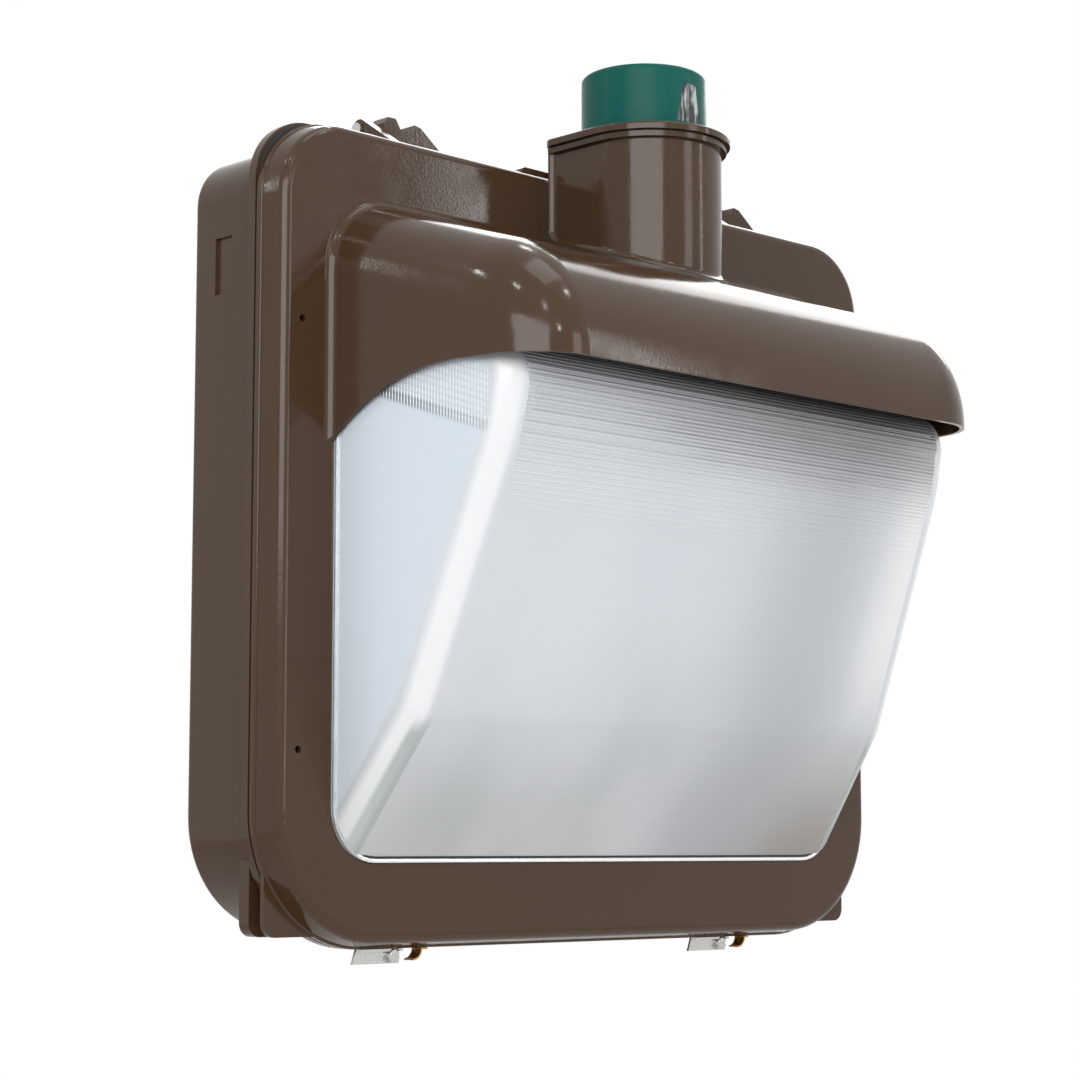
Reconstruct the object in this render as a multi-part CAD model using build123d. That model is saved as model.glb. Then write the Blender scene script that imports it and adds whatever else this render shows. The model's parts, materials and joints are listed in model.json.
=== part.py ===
from build123d import *
import math
import os

# Wall pack light: a cast housing that screws to a wall, a cast door hinged along its top
# edge, a prismatic glass refractor under a cast hood, and a twist-lock photocontrol on a tower.
# Lengths are millimetres. X runs to the right, Z up, and the front faces -Y.
# The origin is the middle of the flat back face. A "depth" is a distance in front of that face.

# ---------------------------------------------------------------- driving dimensions
HALF_WIDTH = 257.0              # housing flange and door rim
HALF_HEIGHT = 234.0
FACE_DEPTH = 90.0               # from the wall to the door's face
DOOR_THICK = 20.0               # from the door's face to its rim
CAST_WALL = 4.0                 # shell of the housing and the door
SEAT_GAP = 0.3                  # between pieces that move past each other

# rear housing
FLANGE_THICK = 6.0
FLANGE_TOP_RADIUS = 38.0
FLANGE_BOTTOM_RADIUS = 77.5
FLANGE_SIDE_LEDGE = 9.5         # flange beyond the box walls
FLANGE_TOP_LEDGE = 12.0
FLANGE_BOTTOM_LEDGE = 8.5
BOX_TOP_RADIUS = 30.0
BOX_BOTTOM_RADIUS = 66.0
BACK_EDGE_RADIUS = 4.0
GASKET_THICK = 1.5
GASKET_INSET = 2.0
GASKET_WIDTH = 7.0
POCKET_WIDTH = 15.0             # shallow pocket in each side wall
POCKET_HEIGHT = 33.0
POCKET_DEPTH = 2.0
POCKET_CENTRE_DEPTH = 28.0
POCKET_CENTRE_Z = 153.5

# wall mounting
WALL_BOLT_SPACING_X = 380.0
WALL_BOLT_SPACING_Z = 300.0
WALL_BOLT_HOLE_RADIUS = 3.6
OUTLET_BOX_SPACING = 88.9
OUTLET_BOX_HOLE_RADIUS = 2.4
WIRE_ENTRY_RADIUS = 11.0
WIRE_ENTRY_Z = 60.0
PLUG_RADIUS = 10.6
PLUG_DEPTH = 33.0

# corner ears
EAR_SIDE_INSET = 8.5            # inside the flange
EAR_BOTTOM_INSET = 8.0
EAR_WIDTH = 50.5
EAR_CORNER_RADIUS = 8.0
EAR_PLATE_THICK = 8.5
EAR_PLATE_HEIGHT = 42.0
EAR_RIB_THICK = 3.0
EAR_RIB_HEIGHT = 64.0
EAR_SLOT_WIDTH = 10.0           # the dark slot between the housing's ear and the door's

# door casting
DOOR_DRAFT = 3.5                # how far the rim stands outside the face's edge
FACE_TOP_RADIUS = 45.0
FACE_BOTTOM_RADIUS = 74.0
FACE_EDGE_RADIUS = 6.0
RIM_BEAD_THICK = 4.0
RIM_LIP_WIDTH = 10.0
FACE_PLATE = 3.5
OPENING_SIDE_MARGIN = 41.0      # from the rim to the opening
OPENING_TOP_MARGIN = 76.0
OPENING_BOTTOM_MARGIN = 48.0
OPENING_RADIUS = 31.0
GUARD_HOLE_SIDE_MARGIN = 17.5   # from the rim
GUARD_HOLE_SPACING_Z = 239.0
GUARD_HOLE_CENTRE_Z = -4.5
GUARD_HOLE_RADIUS = 2.1
TOP_PAD_X = -50.0
TOP_PAD_SIZE = (26.0, 10.0, 12.0)
TOP_PAD_RISE = 1.5

# hinges
HINGE_SIDE_MARGIN = 112.5       # from the rim to a hinge's centre
PIVOT_DEPTH = 57.0
PIVOT_RISE = 8.0                # above the rim
PIN_RADIUS = 2.5
PIN_FIT = 0.06
FINGER_OFFSET = -27.0           # from a hinge's centre to its finger's left side
FINGER_THICK = 7.0
FINGER_TIP_RADIUS = 6.5
LUG_LEFT = -12.0
LUG_RIGHT = 42.0
LUG_BACK_DEPTH = 50.0

# latches
LATCH_SPACING = 280.0
LATCH_SHIFT = -14.0             # the pair sits left of the middle
LATCH_DROP = 4.0                # screw's axis below the rim
LATCH_SCREW_RADIUS = 2.0
LATCH_SCREW_CLEARANCE = 0.5
LATCH_HEAD_RADIUS = 4.0
LATCH_HEAD_HEIGHT = 3.5
LATCH_LUG_HALF_WIDTH = 4.4
LATCH_LUG_THICK = 9.0
LATCH_PLATE_THICK = 1.5
LATCH_PLATE_GAP = 0.5           # in front of the housing's lug
LATCH_PLATE_LEFT = 29.0         # from the screw to the plate's left end
LATCH_PLATE_RIGHT = 6.0
SPRING_OFFSET = 10.0            # from the screw to the spring's lowest line
SPRING_RADIUS = 6.8
SPRING_THICK = 1.0
SPRING_WIDTH = 8.0

# hood
HOOD_REACH = 146.0              # in front of the face
HOOD_BASE_MARGIN = 37.5         # from the rim to a cheek's foot
HOOD_SIDE_TAPER = 23.0          # from the foot to the lip
HOOD_ROOF_DROP = 45.5           # from the rim's top to where the roof would meet the face
HOOD_ROOF_SLOPE = 0.325
HOOD_LIP_DROP = 103.5           # from there down to the lip
HOOD_CHEEK_DROP = 140.5         # and to the tip of each cheek, on the face
HOOD_CHEEK_RUN = 92.0           # depth of a cheek's curved lower edge
HOOD_CHEEK_SAG = (26.0, 20.0)   # depth and rise of a point on that curve
HOOD_BROW_RADIUS = 74.0         # roof to front
HOOD_SIDE_RADIUS = 42.0         # roof and front to cheeks
HOOD_WALL = 3.0
HOOD_COVE_RADIUS = 6.0          # round the hood's foot, on the face
HOOD_COVE_WIDTH = 4.5
HOOD_TAIL_DEPTH = FACE_DEPTH - 20.0    # how far back the hood's block is drawn before it is trimmed
HOOD_SCREW_XS = (-180.0, -95.0, 95.0, 180.0)
HOOD_BOSS_RADIUS = 4.5
HOOD_BOSS_LENGTH = 12.0

# photocontrol tower
TOWER_RADIUS = 44.5
TOWER_CENTRE_DEPTH = FACE_DEPTH + 40.0
TOWER_WALL = 4.0
TOWER_RISE = 14.0               # above the rim
TOWER_FLANGE_THICK = 3.2
TOWER_FLANGE_LEDGE = 3.2
TOWER_COVE_RADIUS = 5.0         # round the tower's foot, on the hood and the face
TOWER_COVE_WIDTH = 3.0
TOWER_FOOT_COVE_RADIUS = 10.0   # hollow in the tower's foot that clears the hood's own cove
TOWER_SEAL_THICK = 1.5
CAP_PLATE_LEDGE = 5.5
CAP_PLATE_THICK = 4.6
CAP_PLATE_SEAL = 0.8
CAP_PLATE_BACK = 2.0            # how far the plate reaches behind the face
TOWER_PASSAGE_DROP = 38.0       # from the tower's top to the middle of its wire passage
TOWER_PASSAGE_SIZE = (42.0, 22.0)
TOWER_PASSAGE_RADIUS = 5.0
TOWER_SCREW_X = 33.0
TOWER_BOSS_RADIUS = 5.0

# twist-lock receptacle and photocontrol
RECEPTACLE_RADIUS = 31.0
RECEPTACLE_HEIGHT = 26.0
RECEPTACLE_LIP_RADIUS = 35.0
RECEPTACLE_LIP_THICK = 1.2
BLADE_CIRCLE_RADIUS = 19.0
BLADE_THICK = 1.6
BLADE_LENGTH = 15.0
BLADE_ARC = 26.0                # degrees that a blade spans
BLADE_CLEARANCE = 1.0
TWIST_RANGE = 25.0              # degrees from locked to free
PHOTO_RADIUS = 38.5
PHOTO_CENTRE_DEPTH = FACE_DEPTH + 36.0
PHOTO_HEIGHT = 38.6
PHOTO_WALL = 2.0
PHOTO_TOP_RADIUS = 3.0
PHOTO_BASE_THICK = 4.0
WINDOW_BOTTOM_WIDTH = 20.0
WINDOW_TOP_WIDTH = 11.0
WINDOW_RISE = 4.1               # above the cap's lower edge
WINDOW_HEIGHT = 24.0
WINDOW_THICK = 1.5

# glass refractor
GLASS_THICK = 5.0
GLASS_GAP = 1.5                 # to the door's opening
GLASS_TOP_REACH = 122.0         # in front of the face, just under the hood's lip
GLASS_CREST_RISE = 2.0          # above the hood's lip
GLASS_BEND_SETBACK = 7.0        # behind the crest
GLASS_BEND_DROP = 41.0          # below the crest
GLASS_KINK_SETBACK = 66.0
GLASS_KINK_RISE = 81.0          # above the opening's lower edge
GLASS_SIDE_LEAN = 0.165
GLASS_RIDGE_RADIUS = 18.0
GLASS_CREST_RADIUS = 24.0
GLASS_BEND_RADIUS = 160.0
GLASS_KINK_RADIUS = 26.0
GLASS_FLANGE_WIDTH = 9.0
GLASS_FLANGE_THICK = 5.0
GLASS_COLLAR = 2.0              # stands in front of the face, round the opening
GLASS_GASKET_THICK = 1.5
CLIP_MARGIN = (15.0, 16.0)      # beside and below the opening
CLIP_PLACES = (110.0, 85.0)     # along the lower edge and up the sides
CLIP_THICK = 1.5
CLIP_LENGTH = 18.0

# reflector and lamp
REFLECTOR_SHEET = 1.2
REFLECTOR_SIDE_MARGIN = 11.0    # inside the door's opening
REFLECTOR_TOP_MARGIN = 6.0      # beyond the opening
REFLECTOR_BOTTOM_MARGIN = 4.0
REFLECTOR_SETBACK = 15.0        # from the face back to its front flange
REFLECTOR_HOLLOW = 27.0         # from there back to its floor
REFLECTOR_LOW_STEP = 3.0        # from the flange back to the sheet over the ballast
REFLECTOR_POST_OFFSET = 9.0     # beside the reflector's side
REFLECTOR_POST_Z = 140.0
LAMP_STAND = 35.0               # the lamp's axis in front of the face
LAMP_Z = 35.0
LAMP_RADIUS = 44.5
LAMP_BASE_RADIUS = 19.5
LAMP_BASE_LENGTH = 44.0
LAMP_BASE_MARGIN = 53.0         # from the reflector's side to the far end of the lamp's base
LAMP_LENGTH = 212.0
SOCKET_WALL = 6.5
SOCKET_END = 10.0
BRACKET_THICK = 2.0

# ballast gear
BALLAST_HALF_WIDTH = 60.0
BALLAST_MARGIN = 20.0           # above the box's floor
BALLAST_HEIGHT = 82.0
CORE_BACK_DEPTH = 20.0
COIL_OVERHANG = 10.0
COIL_CLEARANCE = 6.0            # between the coils and the reflector

# fasteners
SCREW_RADIUS = 2.0
SCREW_HEAD_RADIUS = 4.0
SCREW_HEAD_HEIGHT = 2.2
SLOT_WIDTH = 1.0
BOSS_RADIUS = 5.0

# ---------------------------------------------------------------- places that follow
BOX_HALF_WIDTH = HALF_WIDTH - FLANGE_SIDE_LEDGE
BOX_TOP = HALF_HEIGHT - FLANGE_TOP_LEDGE
BOX_BOTTOM = FLANGE_BOTTOM_LEDGE - HALF_HEIGHT
RIM_DEPTH = FACE_DEPTH - DOOR_THICK
FLANGE_FRONT = RIM_DEPTH - GASKET_THICK
FLANGE_BACK = FLANGE_FRONT - FLANGE_THICK
PLATE_BACK = FACE_DEPTH - FACE_PLATE
OPENING_HALF_WIDTH = HALF_WIDTH - OPENING_SIDE_MARGIN
OPENING_TOP = HALF_HEIGHT - OPENING_TOP_MARGIN
OPENING_BOTTOM = OPENING_BOTTOM_MARGIN - HALF_HEIGHT
HINGE_CENTRES = (HINGE_SIDE_MARGIN - HALF_WIDTH, HALF_WIDTH - HINGE_SIDE_MARGIN)
PIVOT_Z = HALF_HEIGHT + PIVOT_RISE
LATCH_CENTRES = (LATCH_SHIFT - LATCH_SPACING / 2, LATCH_SHIFT + LATCH_SPACING / 2)
LATCH_Z = -HALF_HEIGHT - LATCH_DROP
GLASS_HALF_WIDTH = OPENING_HALF_WIDTH - GLASS_GAP
GLASS_FLANGE_FRONT = PLATE_BACK - GLASS_GASKET_THICK
GLASS_FLANGE_BACK = GLASS_FLANGE_FRONT - GLASS_FLANGE_THICK
GLASS_TAIL_DEPTH = GLASS_FLANGE_BACK - 1
CLIP_X = OPENING_HALF_WIDTH + CLIP_MARGIN[0]
CLIP_XZ = [(x, z) for x in (-CLIP_X, CLIP_X) for z in (-CLIP_PLACES[1], CLIP_PLACES[1])]
CLIP_XZ += [(x, OPENING_BOTTOM - CLIP_MARGIN[1]) for x in (-CLIP_PLACES[0], CLIP_PLACES[0])]
REFLECTOR_HALF_WIDTH = OPENING_HALF_WIDTH - REFLECTOR_SIDE_MARGIN
REFLECTOR_TOP = OPENING_TOP + REFLECTOR_TOP_MARGIN
REFLECTOR_BOTTOM = OPENING_BOTTOM - REFLECTOR_BOTTOM_MARGIN
REFLECTOR_POST_X = REFLECTOR_HALF_WIDTH + REFLECTOR_POST_OFFSET
REFLECTOR_FRONT_DEPTH = FACE_DEPTH - REFLECTOR_SETBACK
REFLECTOR_BACK_DEPTH = REFLECTOR_FRONT_DEPTH - REFLECTOR_HOLLOW
REFLECTOR_LOW_DEPTH = REFLECTOR_FRONT_DEPTH - REFLECTOR_LOW_STEP
LAMP_DEPTH = FACE_DEPTH + LAMP_STAND
LAMP_BASE_X = LAMP_BASE_MARGIN - REFLECTOR_HALF_WIDTH
LAMP_TIP_X = LAMP_BASE_X + LAMP_LENGTH
CORE_THICK = REFLECTOR_LOW_DEPTH - COIL_CLEARANCE - COIL_OVERHANG - CORE_BACK_DEPTH
BALLAST_BOTTOM = BOX_BOTTOM + BALLAST_MARGIN
BALLAST_TOP = BALLAST_BOTTOM + BALLAST_HEIGHT
HOOD_FRONT = FACE_DEPTH + HOOD_REACH
HOOD_BASE_HALF_WIDTH = HALF_WIDTH - HOOD_BASE_MARGIN
HOOD_LIP_HALF_WIDTH = HOOD_BASE_HALF_WIDTH - HOOD_SIDE_TAPER
HOOD_ROOF_Z = HALF_HEIGHT - HOOD_ROOF_DROP      # where the roof would meet the face
HOOD_LIP_Z = HOOD_ROOF_Z - HOOD_LIP_DROP
HOOD_CHEEK_Z = HOOD_ROOF_Z - HOOD_CHEEK_DROP
HOOD_SCREW_Z = HOOD_ROOF_Z - HOOD_WALL - HOOD_BOSS_RADIUS - 4.5
GLASS_TOP_Z = HOOD_LIP_Z + GLASS_CREST_RISE
GLASS_KINK_Z = OPENING_BOTTOM + GLASS_KINK_RISE
TOWER_TOP = HALF_HEIGHT + TOWER_RISE
TOWER_PASSAGE_Z = TOWER_TOP - TOWER_PASSAGE_DROP
CAP_PLATE_BOTTOM = TOWER_TOP + CAP_PLATE_SEAL
CAP_PLATE_TOP = CAP_PLATE_BOTTOM + CAP_PLATE_THICK
RECEPTACLE_TOP = CAP_PLATE_TOP + RECEPTACLE_LIP_THICK
PHOTO_BOTTOM = RECEPTACLE_TOP + SEAT_GAP
PHOTO_TOP = PHOTO_BOTTOM + PHOTO_HEIGHT
WINDOW_BOTTOM_Z = PHOTO_BOTTOM + WINDOW_RISE
WINDOW_TOP_Z = WINDOW_BOTTOM_Z + WINDOW_HEIGHT
EAR_PLATE_FRONT = RIM_DEPTH - EAR_SLOT_WIDTH
EAR_PLATE_BACK = EAR_PLATE_FRONT - EAR_PLATE_THICK
EAR_HALF_WIDTH = HALF_WIDTH - EAR_SIDE_INSET
EAR_INNER_X = EAR_HALF_WIDTH - EAR_WIDTH
EAR_BOTTOM = EAR_BOTTOM_INSET - HALF_HEIGHT
LATCH_PLATE_BACK = FLANGE_FRONT + LATCH_PLATE_GAP
LATCH_PLATE_FRONT = LATCH_PLATE_BACK + LATCH_PLATE_THICK

FRONT = Plane.XZ                # local x is X, local y is Z, and pushing out goes forward
SIDE = Plane(origin=(0, 0, 0), x_dir=(0, -1, 0), z_dir=(-1, 0, 0))   # local x is depth


# ---------------------------------------------------------------- building blocks
def slab(sheet, back, front):
    """Push a flat front-view outline from one depth to another."""
    return FRONT * (Pos(0, 0, back) * extrude(sheet, front - back))


def outline(half_width, top, bottom, top_radius, bottom_radius):
    """Front-view rectangle with its own radius at the top and the bottom corners."""
    sheet = Pos(0, (top + bottom) / 2) * Rectangle(2 * half_width, top - bottom)
    sheet = fillet(sheet.vertices().group_by(Axis.Y)[-1], top_radius)
    return fillet(sheet.vertices().group_by(Axis.Y)[0], bottom_radius)


def block(x_range, depth_range, z_range):
    """Box between two X, two depths and two Z."""
    size = (x_range[1] - x_range[0], z_range[1] - z_range[0])
    middle = Pos(sum(x_range) / 2, sum(z_range) / 2)
    return slab(middle * Rectangle(*size), depth_range[0], depth_range[1])


def rod_forward(radius, back, front, x, z):
    """Round bar along the depth."""
    return slab(Pos(x, z) * Circle(radius), back, front)


def rod_across(radius, left, right, depth, z):
    """Round bar along X."""
    return Pos(right, 0, 0) * (SIDE * extrude(Pos(depth, z) * Circle(radius), right - left))


def rod_up(radius, bottom, top, x, depth):
    """Round bar along Z."""
    return Pos(x, -depth, bottom) * extrude(Circle(radius), top - bottom)


def side_prism(points, left, right):
    """Side-view polygon of (depth, z) points, pushed from one X to another."""
    sheet = make_face(Polyline(*points, close=True))
    return Pos(right, 0, 0) * (SIDE * extrude(sheet, right - left))


def front_prism(points, back, front):
    """Front-view polygon of (x, z) points, pushed from one depth to another."""
    return slab(make_face(Polyline(*points, close=True)), back, front)


def screw(x, z, seat, tip):
    """Pan-head screw along the depth. The head stands on the seat, away from the tip."""
    away = 1 if seat > tip else -1
    head_end = seat + away * SCREW_HEAD_HEIGHT
    body = rod_forward(SCREW_RADIUS, min(seat, tip), max(seat, tip), x, z)
    body += rod_forward(SCREW_HEAD_RADIUS, min(seat, head_end), max(seat, head_end), x, z)
    slot_floor = head_end - away * SCREW_HEAD_HEIGHT / 2
    slot_depths = (min(slot_floor, head_end), max(slot_floor, head_end))
    return body - block((x - SLOT_WIDTH / 2, x + SLOT_WIDTH / 2), slot_depths,
                        (z - SCREW_HEAD_RADIUS, z + SCREW_HEAD_RADIUS))


def both_sides(shape):
    """The shape and its mirror image across the middle."""
    return shape + mirror(shape, Plane.YZ)


def save(name, *solids):
    """Write one node: one solid, or a group of separate ones."""
    shape = solids[0] if len(solids) == 1 else Compound(children=list(solids))
    export_step(shape, f"parts/{name}.step")


# ---------------------------------------------------------------- rear housing
def box_outline(inset):
    return outline(BOX_HALF_WIDTH - inset, BOX_TOP - inset, BOX_BOTTOM + inset,
                   BOX_TOP_RADIUS - inset, BOX_BOTTOM_RADIUS - inset)


def flange_outline(inset):
    return outline(HALF_WIDTH - inset, HALF_HEIGHT - inset, inset - HALF_HEIGHT,
                   FLANGE_TOP_RADIUS - inset, FLANGE_BOTTOM_RADIUS - inset)


def ear(back, front, top):
    """Square corner that fills in the rounded one at the lower right."""
    sheet = make_face(Polyline((EAR_INNER_X, EAR_BOTTOM), (EAR_HALF_WIDTH, EAR_BOTTOM),
                               (EAR_HALF_WIDTH, top), (EAR_INNER_X, top + 8), close=True))
    corner = sheet.vertices().sort_by_distance((EAR_HALF_WIDTH, EAR_BOTTOM, 0))[0]
    return slab(fillet(corner, EAR_CORNER_RADIUS), back, front)


def hinge_lug(centre):
    """Web on the housing's top with two humps, bored for the hinge pin from its left."""
    crest = PIVOT_Z + 10.5
    foot = BOX_TOP - CAST_WALL / 2
    points = ((LUG_LEFT, foot), (LUG_LEFT, crest - 4), (-9, crest), (-3, crest), (1, crest - 6),
              (9, crest - 6), (12, crest - 1), (17, crest - 2), (LUG_RIGHT - 4, HALF_HEIGHT + 1),
              (LUG_RIGHT, foot))
    web = front_prism([(centre + x, z) for x, z in points], LUG_BACK_DEPTH, FLANGE_BACK)
    return web - rod_across(PIN_RADIUS, centre + LUG_LEFT - 1, centre + 15, PIVOT_DEPTH, PIVOT_Z)


def latch_lug(centre):
    """Tab under the housing's flange that takes the latch screw."""
    half = LATCH_LUG_HALF_WIDTH
    tab = block((centre - half, centre + half), (FLANGE_FRONT - LATCH_LUG_THICK, FLANGE_FRONT),
                (LATCH_Z, -HALF_HEIGHT + 2))
    tab += rod_forward(half, FLANGE_FRONT - LATCH_LUG_THICK, FLANGE_FRONT, centre, LATCH_Z)
    return tab - rod_forward(LATCH_SCREW_RADIUS + LATCH_SCREW_CLEARANCE,
                             FLANGE_FRONT - LATCH_LUG_THICK - 1, FLANGE_FRONT + 1, centre, LATCH_Z)


POST_XZ = [(x, z) for x in (-REFLECTOR_POST_X, REFLECTOR_POST_X)
           for z in (-REFLECTOR_POST_Z, REFLECTOR_POST_Z)]
BALLAST_BOLT_X = BALLAST_HALF_WIDTH - 7
BALLAST_BOLT_XZ = [(x, z) for x in (-BALLAST_BOLT_X, BALLAST_BOLT_X)
                   for z in (BALLAST_BOTTOM + 7, BALLAST_TOP - 7)]
RAIL_BACK = CAST_WALL + 6
GEAR_ROW_Z = (BALLAST_BOTTOM + BALLAST_TOP) / 2 - 2
STRAP_SCREW_XZ = [(-170.0, GEAR_ROW_Z), (-104.0, GEAR_ROW_Z)]
IGNITOR_SCREW_XZ = [(96.0, GEAR_ROW_Z), (164.0, GEAR_ROW_Z)]
TERMINAL_SCREW_XZ = [(108.0, 75.0), (152.0, 75.0)]
GROUND_XZ = (-75.0, 75.0)
GEAR_BOSS_TOP = CAST_WALL + 5


def rear_housing():
    shell = slab(box_outline(0), 0, FLANGE_BACK + 1)
    shell = fillet(shell.faces().sort_by(Axis.Y)[-1].edges(), BACK_EDGE_RADIUS)
    shell += slab(flange_outline(0), FLANGE_BACK, FLANGE_FRONT)
    shell += both_sides(ear(EAR_PLATE_BACK, EAR_PLATE_FRONT, EAR_BOTTOM + EAR_PLATE_HEIGHT))
    for centre in HINGE_CENTRES:
        shell += hinge_lug(centre)
    for centre in LATCH_CENTRES:
        shell += latch_lug(centre)
    shell -= slab(box_outline(CAST_WALL), CAST_WALL, FLANGE_FRONT + 1)
    pocket = block((BOX_HALF_WIDTH - POCKET_DEPTH, BOX_HALF_WIDTH + 1),
                   (POCKET_CENTRE_DEPTH - POCKET_WIDTH / 2, POCKET_CENTRE_DEPTH + POCKET_WIDTH / 2),
                   (POCKET_CENTRE_Z - POCKET_HEIGHT / 2, POCKET_CENTRE_Z + POCKET_HEIGHT / 2))
    shell -= both_sides(pocket)
    for x, z in POST_XZ:
        shell += rod_forward(BOSS_RADIUS, CAST_WALL - 1, REFLECTOR_FRONT_DEPTH, x, z)
        shell -= rod_forward(SCREW_RADIUS, REFLECTOR_FRONT_DEPTH - 9, REFLECTOR_FRONT_DEPTH + 1, x, z)
    for x, z in BALLAST_BOLT_XZ:
        shell += rod_forward(BOSS_RADIUS + 1, CAST_WALL - 1, RAIL_BACK, x, z)
        shell -= rod_forward(SCREW_RADIUS, CAST_WALL - 2, RAIL_BACK + 1, x, z)
    for x, z in STRAP_SCREW_XZ + IGNITOR_SCREW_XZ + TERMINAL_SCREW_XZ + [GROUND_XZ]:
        shell += rod_forward(BOSS_RADIUS, CAST_WALL - 1, GEAR_BOSS_TOP, x, z)
        shell -= rod_forward(SCREW_RADIUS, CAST_WALL - 2, GEAR_BOSS_TOP + 1, x, z)
    for x in (-WALL_BOLT_SPACING_X / 2, WALL_BOLT_SPACING_X / 2):
        for z in (-WALL_BOLT_SPACING_Z / 2, WALL_BOLT_SPACING_Z / 2):
            shell -= rod_forward(WALL_BOLT_HOLE_RADIUS, -1, CAST_WALL + 1, x, z)
    for x in (-OUTLET_BOX_SPACING / 2, OUTLET_BOX_SPACING / 2):
        shell -= rod_forward(OUTLET_BOX_HOLE_RADIUS, -1, CAST_WALL + 1, x, WIRE_ENTRY_Z)
    shell -= rod_forward(WIRE_ENTRY_RADIUS, -1, CAST_WALL + 1, 0, WIRE_ENTRY_Z)
    shell -= rod_up(PLUG_RADIUS, BOX_BOTTOM - 1, BOX_BOTTOM + CAST_WALL + 1, 0, PLUG_DEPTH)
    return shell


def housing_gasket():
    ring = flange_outline(GASKET_INSET) - flange_outline(GASKET_INSET + GASKET_WIDTH)
    return slab(ring, FLANGE_FRONT, RIM_DEPTH)


def conduit_plug():
    """Closing plug in the entry under the housing, with a slotted head."""
    floor = BOX_BOTTOM
    plug = rod_up(PLUG_RADIUS, floor, floor + CAST_WALL + 3, 0, PLUG_DEPTH)
    plug += rod_up(PLUG_RADIUS + 3, floor - 4, floor, 0, PLUG_DEPTH)
    return plug - block((-PLUG_RADIUS, PLUG_RADIUS), (PLUG_DEPTH - 1.5, PLUG_DEPTH + 1.5),
                        (floor - 5, floor - 2))


def hinge_pins():
    pins = []
    for centre in HINGE_CENTRES:
        head_right = centre + FINGER_OFFSET - 0.5
        pin = rod_across(PIN_RADIUS, head_right, centre + 14, PIVOT_DEPTH, PIVOT_Z)
        pins.append(pin + rod_across(PIN_RADIUS + 1.5, head_right - 2, head_right, PIVOT_DEPTH, PIVOT_Z))
    return pins


# ---------------------------------------------------------------- electrical gear
def ballast():
    """Laminated core with its two windows, two coils on the middle leg, rails and bolts."""
    core_front = CORE_BACK_DEPTH + CORE_THICK
    leg = 14.0
    window = 38.0
    yoke = 14.0
    core = block((-BALLAST_HALF_WIDTH, BALLAST_HALF_WIDTH), (CORE_BACK_DEPTH, core_front),
                 (BALLAST_BOTTOM, BALLAST_TOP))
    core -= both_sides(block((leg, window), (CORE_BACK_DEPTH - 1, core_front + 1),
                             (BALLAST_BOTTOM + yoke, BALLAST_TOP - yoke)))
    rails = [block((side * BALLAST_BOLT_X - 7, side * BALLAST_BOLT_X + 7),
                   (RAIL_BACK, CORE_BACK_DEPTH), (BALLAST_BOTTOM, BALLAST_TOP)) for side in (-1, 1)]
    bolts = []
    for x, z in BALLAST_BOLT_XZ:
        core -= rod_forward(SCREW_RADIUS, CORE_BACK_DEPTH - 1, core_front + 1, x, z)
        rails = [rail - rod_forward(SCREW_RADIUS, RAIL_BACK - 1, CORE_BACK_DEPTH + 1, x, z)
                 for rail in rails]
        bolts.append(screw(x, z, core_front, CAST_WALL - 2))
    coils = []
    coil_bottom = BALLAST_BOTTOM + yoke
    coil_top = BALLAST_TOP - yoke
    middle = (coil_bottom + coil_top) / 2
    for bottom, top in ((coil_bottom, middle - 1), (middle + 1, coil_top)):
        centre = Pos(0, -(CORE_BACK_DEPTH + core_front) / 2)
        outer = centre * RectangleRounded(2 * window, CORE_THICK + 2 * COIL_OVERHANG, 8)
        inner = centre * Rectangle(2 * leg, CORE_THICK)
        coils.append(Pos(0, 0, bottom) * extrude(outer - inner, top - bottom))
    return core, coils, rails, bolts


CAPACITOR_X = -137.0
CAPACITOR_SIZE = (50.0, 32.0)
CAPACITOR_Z = (GEAR_ROW_Z - 41, GEAR_ROW_Z + 47)
STRAP_THICK = 1.2
IGNITOR_X = (103.0, 157.0)
IGNITOR_Z = (GEAR_ROW_Z - 25, GEAR_ROW_Z + 25)


def capacitor():
    middle_depth = GEAR_BOSS_TOP + CAPACITOR_SIZE[1] / 2
    can = extrude(SlotOverall(CAPACITOR_SIZE[0], CAPACITOR_SIZE[1]), CAPACITOR_Z[1] - CAPACITOR_Z[0])
    can = Pos(CAPACITOR_X, -middle_depth, CAPACITOR_Z[0]) * can
    for x in (CAPACITOR_X - 9, CAPACITOR_X + 9):
        can += block((x - 3, x + 3), (middle_depth - 0.5, middle_depth + 0.5),
                     (CAPACITOR_Z[1], CAPACITOR_Z[1] + 9))
    return can


def capacitor_strap():
    """Band over the can, with a foot on each of its two bosses."""
    middle = Pos(CAPACITOR_X, -(GEAR_BOSS_TOP + CAPACITOR_SIZE[1] / 2))
    outer = middle * SlotOverall(CAPACITOR_SIZE[0] + 2 * STRAP_THICK, CAPACITOR_SIZE[1] + 2 * STRAP_THICK)
    inner = middle * SlotOverall(*CAPACITOR_SIZE)
    band = Pos(0, 0, STRAP_SCREW_XZ[0][1] - 7) * extrude(outer - inner, 14)
    band -= block((-HALF_WIDTH, 0), (0, GEAR_BOSS_TOP), (-HALF_HEIGHT, 0))
    for x, z in STRAP_SCREW_XZ:
        reach = CAPACITOR_X + math.copysign(CAPACITOR_SIZE[0] / 2 - 9, x - CAPACITOR_X)
        span = (min(x - 6, reach), max(x + 6, reach))
        foot = block(span, (GEAR_BOSS_TOP, GEAR_BOSS_TOP + STRAP_THICK), (z - 7, z + 7))
        band += foot - (middle * Pos(0, 0, z - 8)) * extrude(SlotOverall(*CAPACITOR_SIZE), 16)
        band -= rod_forward(SCREW_RADIUS, GEAR_BOSS_TOP - 1, GEAR_BOSS_TOP + 3, x, z)
    return band


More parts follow.
